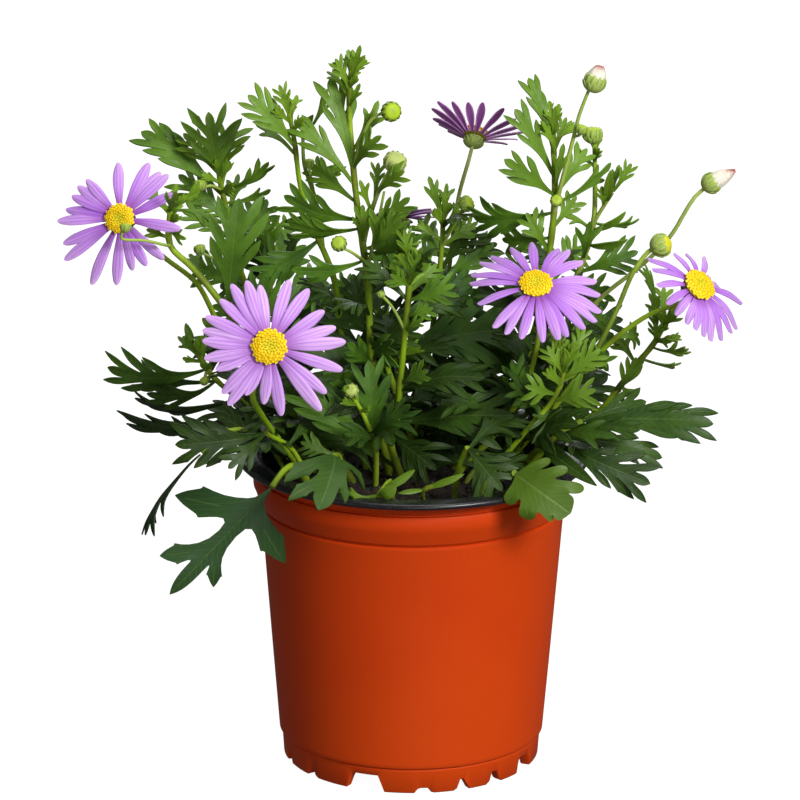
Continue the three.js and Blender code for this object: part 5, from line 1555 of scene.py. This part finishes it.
def leaf_green(wire, back):
    rib = wire.named("rib").eased(0.86, 1.0)
    vein = (wire.named("vein") * 6.283).turned("COSINE").eased(0.8, 1.0)
    vein = vein * (1 - wire.named("wood")) * (1 - wire.named("bud"))
    blotch = wire.noise(140, 2).eased(0.3, 0.7)
    fine = wire.noise(900, 2)
    mood = wire.named("mood") * 0.5 + 0.5
    green = (blotch * 0.5 + mood * 0.5).tinted(rgb(44, 80, 18), rgb(98, 142, 38))
    green = wire.named("cool").eased(0, 1.1).tinted(green, rgb(54, 90, 46))
    green = wire.named("young").eased(0.1, 1.0).tinted(green, rgb(118, 154, 36))
    # Painted shade: leaves low and inside the plant are darkened towards a near black green.
    green = (wire.named("deep") * 0.85).tinted(green, rgb(24, 40, 8))
    green = (rib * 0.18 + vein * 0.08).tinted(green, rgb(130, 160, 80))
    if back:
        green = (blotch * 0.2 + 0.25).tinted(green, rgb(104, 132, 84))
    stem = wire.noise(60, 2).eased(0.3, 0.7).tinted(rgb(126, 162, 22), rgb(166, 198, 46))
    # Painted shade low on a stem, and its own browner tone near a leaf's root.
    blush_and_shade = wire.named("blush_and_shade")
    stem = (blush_and_shade * 0.8).tinted(stem, rgb(74, 90, 22))
    stem = (blush_and_shade * wire.noise(200, 2).eased(0.3, 0.7) * 0.7).tinted(stem, rgb(100, 80, 32))
    colour = wire.named("wood").tinted(green, stem)
    scale = wire.named("bud")
    bud_green = wire.named("young").tinted(rgb(118, 156, 58), rgb(176, 204, 34))
    colour = scale.tinted(colour, bud_green)
    colour = (scale * wire.named("rib").eased(0.3, 1) * 0.45).tinted(colour, rgb(196, 214, 140))
    # Paler where marked: the own tone of hairs, buds and twigs, and on cups and some stalks partly
    # painted light from below.
    colour = wire.named("pale").tinted(colour, rgb(190, 202, 126))
    height = fine * 0.3 - rib * 0.9 - vein * 0.35 + blotch * 0.3
    return {
        "Base Color": colour,
        "Roughness": fine * 0.2 + 0.36,
        "Normal": height.bump(0.4, 0.0003),
    }


def petal_lilac(wire, back):
    along = wire.named("along")
    edge = wire.named("edge")
    pale = wire.named("pale")
    spread = wire.node("ShaderNodeCombineXYZ", sockets={0: edge * 7, 1: along * 1.2, 2: pale * 40})
    streak = wire.node("ShaderNodeTexNoise", sockets={
        "Vector": spread, "Scale": 1.0, "Detail": 2.0})
    lilac = pale.tinted(rgb(190, 124, 230), rgb(232, 184, 250))
    lilac = (along.eased(0.45, 1.0) * 0.3).tinted(lilac, rgb(244, 208, 252))
    root = (1 - along.eased(0.02, 0.5)) * 0.75
    lilac = root.tinted(lilac, rgb(142, 58, 176))
    lilac = (streak.eased(0.4, 0.7) * 0.4).tinted(lilac, rgb(156, 88, 206))
    # Painted shade: two darker lines along the petal's grooves, where its creases lie.
    groove = ((edge * 9.42).turned("COSINE") * -0.5 + 0.5) ** 4
    lilac = (groove * (1 - along.eased(0.8, 1)) * 0.42).tinted(lilac, rgb(146, 72, 192))
    # Painted shade: the back of a petal darkens towards its root, under the flower.
    if back:
        lilac = (1 - along.eased(0, 0.35) * 0.8).tinted(lilac, rgb(128, 60, 120))
    # Painted shade and painted backlight: a dark purple petal with pale margins, for flowers seen
    # from behind.
    margin = (edge * edge).eased(0.3, 0.95)
    dusky = margin.tinted(rgb(150, 52, 146), rgb(236, 180, 232))
    lilac = (wire.named("dusk") * 0.7).tinted(lilac, dusky)
    grooves = (edge * 22).turned("SINE")
    return {
        "Base Color": lilac,
        "Roughness": streak * 0.2 + 0.42,
        "Normal": (grooves * 0.3 + streak).bump(0.25, 0.0002),
    }


def disc_yellow(wire):
    ring = wire.named("ring")
    grain = wire.noise(1500, 2)
    yellow = ring.eased(0.15, 0.7).tinted(rgb(214, 214, 30), rgb(255, 222, 6))
    yellow = (wire.named("tip") * ring.eased(0.6, 0.9) * 0.45).tinted(yellow, rgb(255, 204, 0))
    return {
        "Base Color": (grain.eased(0.35, 0.65) * 0.12).tinted(yellow, rgb(240, 184, 0)),
        "Roughness": grain * 0.3 + 0.5,
        "Normal": grain.bump(0.3, 0.0002),
    }


def bud_tip_pink(wire):
    along = wire.named("along")
    streak = wire.noise(900, 2).eased(0.35, 0.65)
    pink = along.eased(0.7, 1.0).tinted(rgb(244, 238, 218), rgb(168, 108, 84))
    pink = (streak * along.eased(0.4, 0.95) * 0.5).tinted(pink, rgb(176, 92, 112))
    return {
        "Base Color": pink,
        "Roughness": streak * 0.1 + 0.45,
        "Normal": streak.bump(0.2, 0.0002),
    }


def soil_brown(wire):
    clump = wire.noise(220, 6, 0.65)
    grain = wire.noise(1600, 3)
    brown = clump.eased(0.35, 0.65).tinted(rgb(16, 11, 8), rgb(46, 33, 23))
    return {
        "Base Color": (grain.eased(0.62, 0.72) * 0.6).tinted(brown, rgb(96, 78, 60)),
        "Roughness": grain * 0.1 + 0.88,
        "Normal": (clump + grain * 0.5).bump(0.7, 0.001),
    }


def pot_orange(wire):
    broad = wire.noise(14, 3)
    fine = wire.noise(900, 3)
    orange = broad.eased(0.3, 0.7).tinted(rgb(206, 62, 8), rgb(214, 70, 10))
    return {
        "Base Color": (fine.eased(0.55, 0.75) * 0.12).tinted(orange, rgb(184, 50, 6)),
        "Roughness": fine * 0.12 + broad * 0.1 + 0.42,
        "Normal": (fine * 0.6 + broad).bump(0.06, 0.0004),
    }


def pot_black(wire):
    fine = wire.noise(1100, 3)
    return {
        "Base Color": fine.eased(0.4, 0.8).tinted(rgb(22, 22, 25), rgb(38, 38, 42)),
        "Roughness": fine * 0.14 + 0.22,
        "Normal": fine.bump(0.06, 0.0003),
    }


# Pot
def wall_at(height):
    """The radius of the pot's tapering wall at a height."""
    slope = (GROOVE_RADIUS - FOOT_LINE_RADIUS) / (GROOVE_HEIGHT - FOOT_LINE)
    return FOOT_LINE_RADIUS + slope * (height - FOOT_LINE)


def rounded(centre_radius, centre_height, radius, start, end, steps):
    """Points of a round stretch of a profile, between two angles in degrees."""
    points = []
    for i in range(steps + 1):
        angle = math.radians(start + (end - start) * i / steps)
        points.append((centre_radius + radius * math.cos(angle),
                       centre_height + radius * math.sin(angle)))
    return points


def off_angle(angle, middle):
    """How many degrees lie between two directions round the pot."""
    return abs((angle - middle + 180) % 360 - 180)


def foot_profile():
    """The pot's outline from the middle of its underside to the line above its feet."""
    floor = FLOOR_TOP - FLOOR_THICKNESS
    inner = FOOT_RADIUS - FOOT_WIDTH
    return [
        (0.001, floor), (inner - 1.2, floor), (inner - 0.3, floor - 0.4), (inner, 0.4),
        (inner + 0.4, 0), (FOOT_RADIUS - 0.4, 0), (FOOT_RADIUS, 0.4),
        (FOOT_RADIUS + 0.45, FOOT_LINE - 0.7), (FOOT_RADIUS + 0.55, FOOT_LINE - 0.3),
        (FOOT_RADIUS + 0.35, FOOT_LINE), (FOOT_RADIUS + 0.6, FOOT_LINE + 0.35),
        (FOOT_LINE_RADIUS - 0.2, FOOT_LINE + 0.5), (FOOT_LINE_RADIUS, FOOT_LINE + 0.8),
        (FOOT_LINE_RADIUS + 0.1, FOOT_LINE + 2),
    ]


def collar_profile():
    """The outline of the wall, the groove and the collar, up to under the rim."""
    rim_low = POT_HEIGHT - RIM_ROLL
    return [
        (wall_at(30), 30), (wall_at(55), 55),
        (GROOVE_RADIUS - 0.15, GROOVE_HEIGHT - 1.4), (GROOVE_RADIUS, GROOVE_HEIGHT - 0.7),
        (GROOVE_RADIUS - 0.1, GROOVE_HEIGHT - 0.25), (GROOVE_RADIUS - 0.75, GROOVE_HEIGHT),
        (GROOVE_RADIUS - 0.7, GROOVE_HEIGHT + 0.3), (GROOVE_RADIUS + 0.1, GROOVE_HEIGHT + 0.6),
        (GROOVE_RADIUS + 0.4, GROOVE_HEIGHT + 1.2),
        (COLLAR_RADIUS - 0.5, COLLAR_LOW - 0.9), (COLLAR_RADIUS - 0.1, COLLAR_LOW),
        (COLLAR_RADIUS, COLLAR_LOW + 1.4), (COLLAR_RADIUS, COLLAR_TOP - 0.5),
        (COLLAR_RADIUS - 0.2, COLLAR_TOP - 0.1),
        (NECK_RADIUS - 0.55, COLLAR_TOP + 0.05), (NECK_RADIUS - 0.6, COLLAR_TOP + 0.35),
        (NECK_RADIUS - 0.1, COLLAR_TOP + 0.6), (NECK_RADIUS, COLLAR_TOP + 1.0),
        (NECK_RADIUS, rim_low - 0.9), (NECK_RADIUS + 0.3, rim_low - 0.2),
        (NECK_RADIUS + 1.0, rim_low),
    ]


def inner_profile():
    """The outline of the rolled rim and of the pot's inside, down to the middle of its floor."""
    top = POT_HEIGHT
    roll = RIM_ROLL / 2
    floor_edge = wall_at(FLOOR_TOP) - POT_WALL
    return [
        *rounded(RIM_RADIUS - roll, top - roll, roll, -90, 90, 6),
        (RIM_RADIUS - 2.4, top - 0.06), (NECK_RADIUS, top - 0.22),
        (LINER_RADIUS + 0.7, top - 0.4), (LINER_RADIUS, top - 1.1), (LINER_RADIUS - 0.3, top - 4),
        (wall_at(GROOVE_HEIGHT) - 1.6 * POT_WALL, GROOVE_HEIGHT), (wall_at(40) - POT_WALL, 40),
        (floor_edge, FLOOR_TOP + 0.8), (floor_edge - 1, FLOOR_TOP), (0.001, FLOOR_TOP),
    ]


def cut_feet(shape):
    """Lifts the underside of the pot where there are gaps between its feet."""
    gaps = FOOT_GAPS + [(angle + 180, wide, high) for angle, wide, high in FOOT_GAPS]
    for corner in shape.verts:
        angle = math.degrees(math.atan2(corner.co.x, -corner.co.y))
        radius = math.hypot(corner.co.x, corner.co.y)
        if corner.co.z < 0.5 and radius > FOOT_RADIUS - FOOT_WIDTH - 0.1:
            for middle, wide, high in gaps:
                away = off_angle(angle, middle)
                corner.co.z += high * (1 - eased(wide - 1.6, wide + 0.6, away))


def notch_neck(shape):
    """Pulls in the small notches round the pot's neck."""
    for corner in shape.verts:
        angle = math.degrees(math.atan2(corner.co.x, -corner.co.y))
        radius = math.hypot(corner.co.x, corner.co.y)
        on_neck = COLLAR_TOP + 0.8 < corner.co.z < POT_HEIGHT - RIM_ROLL - 0.1
        if on_neck and radius > NECK_RADIUS - 0.2:
            for middle in NECK_NOTCHES:
                pull = 0.7 * (1 - eased(0.3, 1.3, off_angle(angle, middle)))
                corner.co.x *= 1 - pull / NECK_RADIUS
                corner.co.y *= 1 - pull / NECK_RADIUS


def pot_shape():
    """The pot in one turned wall. Its inside and rim are of the second material."""
    outline = foot_profile() + collar_profile() + inner_profile()
    shape = spun(bmesh.new(), outline, POT_STEPS)
    cut_feet(shape)
    notch_neck(shape)
    for face in shape.faces:
        middle = face.calc_center_median()
        radius = math.hypot(middle.x, middle.y)
        outward = face.normal.dot(Vector((middle.x, middle.y, 0)).normalized())
        inside = middle.z > FLOOR_TOP - 0.1 and outward < 0.5 and radius < FOOT_RADIUS
        inside = inside or (middle.z > FOOT_LINE + 3 and outward < -0.5)
        face.material_index = int(inside or middle.z > POT_HEIGHT - RIM_ROLL - 0.3)
    return shape


def drained(shape):
    """The pot with its drain holes cut through the floor."""
    cutters = bmesh.new()
    for i in range(DRAIN_HOLES):
        angle = math.radians(90 + 360 / DRAIN_HOLES * (i + 0.5))
        place = (DRAIN_CIRCLE * math.cos(angle), DRAIN_CIRCLE * math.sin(angle), FLOOR_TOP)
        bmesh.ops.create_cone(cutters, cap_ends=True, segments=24, radius1=DRAIN_RADIUS,
                              radius2=DRAIN_RADIUS, depth=10, matrix=Matrix.Translation(place))
    mesh = bpy.data.meshes.new("drain")
    cutters.to_mesh(mesh)
    cutters.free()
    tool = bpy.data.objects.new("drain", mesh)
    bpy.context.collection.objects.link(tool)
    settings = {"object": tool, "operation": "DIFFERENCE", "solver": "EXACT"}
    cut = modified(shape, ("BOOLEAN", settings))
    bpy.data.objects.remove(tool)
    bpy.data.meshes.remove(mesh)
    return cut


def soil_height(share):
    """The height of the peat's domed top at a share of its radius."""
    return SOIL_TOP - SOIL_DROP + (SOIL_CROWN + SOIL_DROP) * (1 - share ** 2)


def soil_shape():
    """Peat with a rough top and loose crumbs."""
    shape = bmesh.new()
    shares = [1 - i / SOIL_RINGS for i in range(SOIL_RINGS)]
    top = [(SOIL_RADIUS * share, soil_height(share)) for share in shares]
    low = FLOOR_TOP + 0.4
    spun(shape, [(0.001, low), (wall_at(FLOOR_TOP) - 2.2, low), (SOIL_RADIUS, SOIL_TOP - 4),
                 *top, (0.001, SOIL_TOP + SOIL_CROWN)], SOIL_STEPS)
    for corner in shape.verts:
        if corner.co.z > SOIL_TOP - 2:
            broad = noise.noise(corner.co * 0.16)
            corner.co.z += 1.5 * broad + 0.9 * noise.noise(corner.co * 0.55)
    random = draws(CRUMB_SEED)
    for _ in range(CRUMBS):
        crumb = bmesh.new()
        radius = 0.4 + 1.1 * next(random) ** 2
        bmesh.ops.create_icosphere(crumb, subdivisions=1, radius=radius)
        reach = (SOIL_RADIUS - 1.5) * next(random) ** 0.5
        angle = FULL_TURN * next(random)
        for corner in crumb.verts:
            corner.co *= 0.8 + 0.5 * next(random)
        place = (reach * math.cos(angle), reach * math.sin(angle),
                 soil_height(reach / SOIL_RADIUS) + 0.2)
        bmesh.ops.translate(crumb, verts=crumb.verts, vec=place)
        join(shape, crumb)
    return shape


# Making the pieces
def make_flower(name, bloom, random, kinds):
    """Makes a flower's petals and disc. Its neck and its cup are given back for the stalk."""
    centre = seen(*bloom["at"])
    axis = facing(*bloom["faces"])
    directions = petal_directions(bloom, axis, random)
    petals = bmesh.new()
    across = directions[0][0]
    along = axis.cross(across)
    directions.sort(key=lambda one: math.atan2(one[0].dot(along), one[0].dot(across)))
    for order, (direction, length) in enumerate(directions):
        join(petals, petal(centre, axis, direction, length, bloom, order, random))
    # Painted shade, with pale margins of painted backlight, on flowers that show their back.
    mark(petals, dusk=bloom.get("dusk", 0))
    petals = thickened(petals, PETAL_THICKNESS)
    finished(f"{name}_flower_petals", petals, lilac, [f"petals_{name}"])
    disc = flower_disc(centre, axis, random, kinds)
    finished(f"{name}_flower_disc", disc, [yellow], [f"disc_{name}"])
    depth = CUP_DEPTH * bloom["cup"]
    neck = [centre + axis * height for height in (-depth - 4, -depth + 0.6)]
    return neck, flower_cup(centre, axis, bloom["cup"], random)


def corners_of(name):
    """The corner points of a node's solid, in this script's units."""
    node = bpy.data.objects[name]
    place = TO_PART.inverted() @ node.matrix_world
    return [place @ corner.co for corner in node.data.vertices]


def bent(one, base, solid):
    """How far nearer or further a leaf's solid was bent to stay clear of the leaves about it.
    A leaf that has no solid isn't bent."""
    def miss(bend):
        tip = seen(*one["tip"], base.y + one["behind"] + bend)
        return min((corner - tip).length for corner in solid)

    best = min(BENDS, key=miss)
    return best if miss(best) < BEND_REACH else 0


def stem_line(row, necks):
    """The line of a stem from in the soil to its end, or to the neck of its flower."""
    x, y = row["soil"]
    points = [Vector((x, y, SOIL_TOP - STEM_DEPTH)), Vector((x, y, SOIL_TOP + 1))]
    points += [seen(*place) for place in row["route"]]
    if row["bloom"]:
        points += necks[row["bloom"]]
    return smooth_line(points)


def twig_lines(row, places):
    """The lines and girths of a stem's twigs and of its buds' stalks. Adds the twigs to places."""
    twigs = []
    for girth, route in row["twigs"]:
        points = [seen(*place) for place in route]
        points[0] = min(places, key=lambda place: (place - points[0]).length)
        twig = smooth_line(points, 1.6)
        twigs.append((twig, girth))
        places += twig
    for one in row["buds"]:
        middle = seen(*one["at"])
        start = min(places, key=lambda place: (place - middle).length)
        twigs.append(([start, middle], (BUD_STALK, BUD_STALK)))
    return twigs


def leaf_places(row, places, solid, seed):
    """Each leaf of a stem with the points where it starts and ends, and its seed."""
    leaves = []
    for k, one in enumerate(row["leaves"]):
        root = Vector(one["root"])
        base = min(places, key=lambda place: (on_sheet(place) - root).length)
        tip = seen(*one["tip"], base.y + one["behind"] + bent(one, base, solid))
        start = base.lerp(tip, min(0.3, 0.5 / (tip - base).length))
        leaves.append((one, start, tip, seed + LEAF_STEP * k))
    return leaves


def blades_of(name, leaves, line, inner):
    """The blades of a stem's own leaves, of the inner ones round it and of those at its end."""
    blades = bmesh.new()
    for one, base, tip, seed in leaves:
        looks = LEAF_LOOKS.get(name, (0, 0))
        join(blades, leaf_blade(one, base, tip, draws(seed), looks))
    for one, base, tip in inner_leaves(line, inner):
        blade = leaf_blade(one, base, tip, inner, (0, 0.1), INNER_FACING)
        # Painted shade: the inner leaves, deep in the clump, are darkened most.
        mark(blade, deep=0.7 + 0.3 * next(inner))
        join(blades, blade)
    if name in SHOOTS:
        for one, base, tip in shoot_leaves(line, *SHOOTS[name], inner):
            join(blades, leaf_blade(one, base, tip, inner, (0.7, 0)))
    return blades


def make_plant(order, name, row, necks, cups):
    """Makes a stem with its hairs, twigs, buds and leaves, and the petals of its ripe buds."""
    random = draws(LEAF_SEED + STEM_STEP * order)
    shape = bmesh.new()
    if row["bloom"]:
        join(shape, cups[row["bloom"]])
    line = stem_line(row, necks)
    places = list(line)
    twigs = twig_lines(row, places)
    seed = LEAF_SEED + STEM_LEAF_STEP * order
    leaves = leaf_places(row, places, corners_of(name), seed)
    knots = [base for _, base, _, _ in leaves]
    stalk = tube(line, row["girth"], knots)
    # Partly painted light from below: some stalks are paled.
    mark(stalk, pale=PALE_AND_BOUNCE_LIT_STALKS.get(name, 0))
    join(shape, stalk)
    join(shape, hairs(line, row["girth"], draws(HAIR_SEED + order)))
    for twig, girth in twigs:
        stalk = tube(twig, girth, knots)
        mark(stalk, pale=TWIG_PALE)
        join(shape, stalk)
    for one in row["buds"]:
        join(shape, bud_shape(one, random))
    blades = blades_of(name, leaves, line, draws(INNER_SEED + INNER_STEP * order))
    if blades.faces:
        join(shape, thickened(blades, LEAF_THICKNESS))
    finished(name.replace("leaf_", "low_leaf_") + "_leafy", shape, foliage, [name])
    for one in row["buds"]:
        if one["ripe"]:
            cup = one["ripe"] == "cup"
            finished(f"{one['ripe']}_bud_petals", ripe_tip(one, random),
                     [yellow if cup else pink],
                     [f"tip_{one['ripe']}_bud"])


foliage = [
    finish_of("leaf green", lambda wire: leaf_green(wire, False), Specular_IOR_Level=0.26),
    finish_of("leaf back", lambda wire: leaf_green(wire, True), Specular_IOR_Level=0.2),
]
lilac = [
    finish_of("petal lilac", lambda wire: petal_lilac(wire, False), Specular_IOR_Level=0.3,
              Sheen_Weight=0.06),
    finish_of("petal back", lambda wire: petal_lilac(wire, True), Specular_IOR_Level=0.2),
]
yellow = finish_of("disc yellow", disc_yellow)
pink = finish_of("bud tip pink", bud_tip_pink)
brown = finish_of("soil brown", soil_brown)
orange = finish_of("pot orange", pot_orange, Specular_IOR_Level=0.14)
black = finish_of("pot black", pot_black)

pot = drained(pot_shape())
finished("nursery_pot", pot, [orange, black], ["pot"], sharp=50)
finished("peat", soil_shape(), [brown], ["soil"])

kinds = floret_kinds()
necks = {}
cups = {}
for order, (name, bloom) in enumerate(BLOOMS.items()):
    random = draws(PETAL_SEED + FLOWER_STEP * order)
    necks[name], cups[name] = make_flower(name, bloom, random, kinds)
for mesh in kinds:
    bpy.data.meshes.remove(mesh)
for order, (name, row) in enumerate(PLANTS.items()):
    make_plant(order, name, row, necks, cups)


# Floor, backdrop, light and camera, in metres
STUDIO_RADIUS = 7
STUDIO_HEIGHT = 14
FLOOR_GLOW = 0.97
WALL_GLOW = 1.0
WORLD_LIGHT = 0.12
CAMERA_LENS = 247.5
CAMERA_SENSOR = 36
CAMERA_REACH = 100
# Each lamp's place, power and size
LAMPS = {
    "key": ((0.75, -1.05, 0.9), 21, 0.5),
    "top": ((0.1, 0.2, 1.3), 5, 0.7),
    "fill": ((-0.9, -1.1, 0.5), 1.0, 0.8),
    "front": ((0.3, -1.5, 0.1), 3.0, 0.6),
    "back": ((0.2, 1.6, 0.6), 7, 1.0),
}
plant_middle = TO_PART @ Vector((0, 0, 115))


def studio_white(wire):
    return {"Base Color": wire.noise(3, 1).tinted((0.14, 0.14, 0.14, 1), (0.15, 0.15, 0.15, 1))}


def backdrop(name, shape, glow):
    """A sheet of the studio that the camera sees, and that neither lights nor shades the plant."""
    look = finish_of(f"studio {name}", studio_white, Roughness=0.9,
                     Emission_Color=(1, 1, 1, 1), Emission_Strength=glow)
    mesh = bpy.data.meshes.new(name)
    shape.to_mesh(mesh)
    shape.free()
    mesh.materials.append(look)
    sheet = bpy.data.objects.new(name, mesh)
    bpy.context.collection.objects.link(sheet)
    sheet.visible_diffuse = False
    sheet.visible_glossy = False
    sheet.visible_shadow = False


def lamp(name, place, power, size):
    """A square lamp that faces the plant and that the camera doesn't see."""
    light = bpy.data.lights.new(name, "AREA")
    light.energy = power
    light.size = size
    light_object = bpy.data.objects.new(name, light)
    bpy.context.collection.objects.link(light_object)
    light_object.visible_camera = False
    light_object.location = Vector(place)
    to_plant = plant_middle - Vector(place)
    light_object.rotation_euler = to_plant.to_track_quat("-Z", "Y").to_euler()


floor = bmesh.new()
bmesh.ops.create_circle(floor, cap_ends=True, segments=64, radius=STUDIO_RADIUS)
backdrop("floor", floor, FLOOR_GLOW)
wall = bmesh.new()
bmesh.ops.create_cone(wall, segments=64, radius1=STUDIO_RADIUS, radius2=STUDIO_RADIUS,
                      depth=STUDIO_HEIGHT)
backdrop("wall", wall, WALL_GLOW)

for name, (place, power, size) in LAMPS.items():
    lamp(name, place, power, size)
world = bpy.data.worlds.new("studio")
world.use_nodes = True
world.node_tree.nodes["Background"].inputs["Color"].default_value = (1, 1, 1, 1)
world.node_tree.nodes["Background"].inputs["Strength"].default_value = WORLD_LIGHT
bpy.context.scene.world = world
bpy.context.scene.view_settings.view_transform = "Standard"

camera = bpy.data.objects.new("camera", bpy.data.cameras.new("camera"))
bpy.context.collection.objects.link(camera)
camera.data.lens = CAMERA_LENS
camera.data.sensor_width = CAMERA_SENSOR
camera.data.clip_end = CAMERA_REACH
camera.location = TO_PART @ VIEWER
camera.rotation_mode = "QUATERNION"
level = (-TO_VIEWER).to_track_quat("-Z", "Y")
camera.rotation_quaternion = level @ Quaternion((0, 0, 1), VIEW_ROLL)
bpy.context.scene.camera = camera
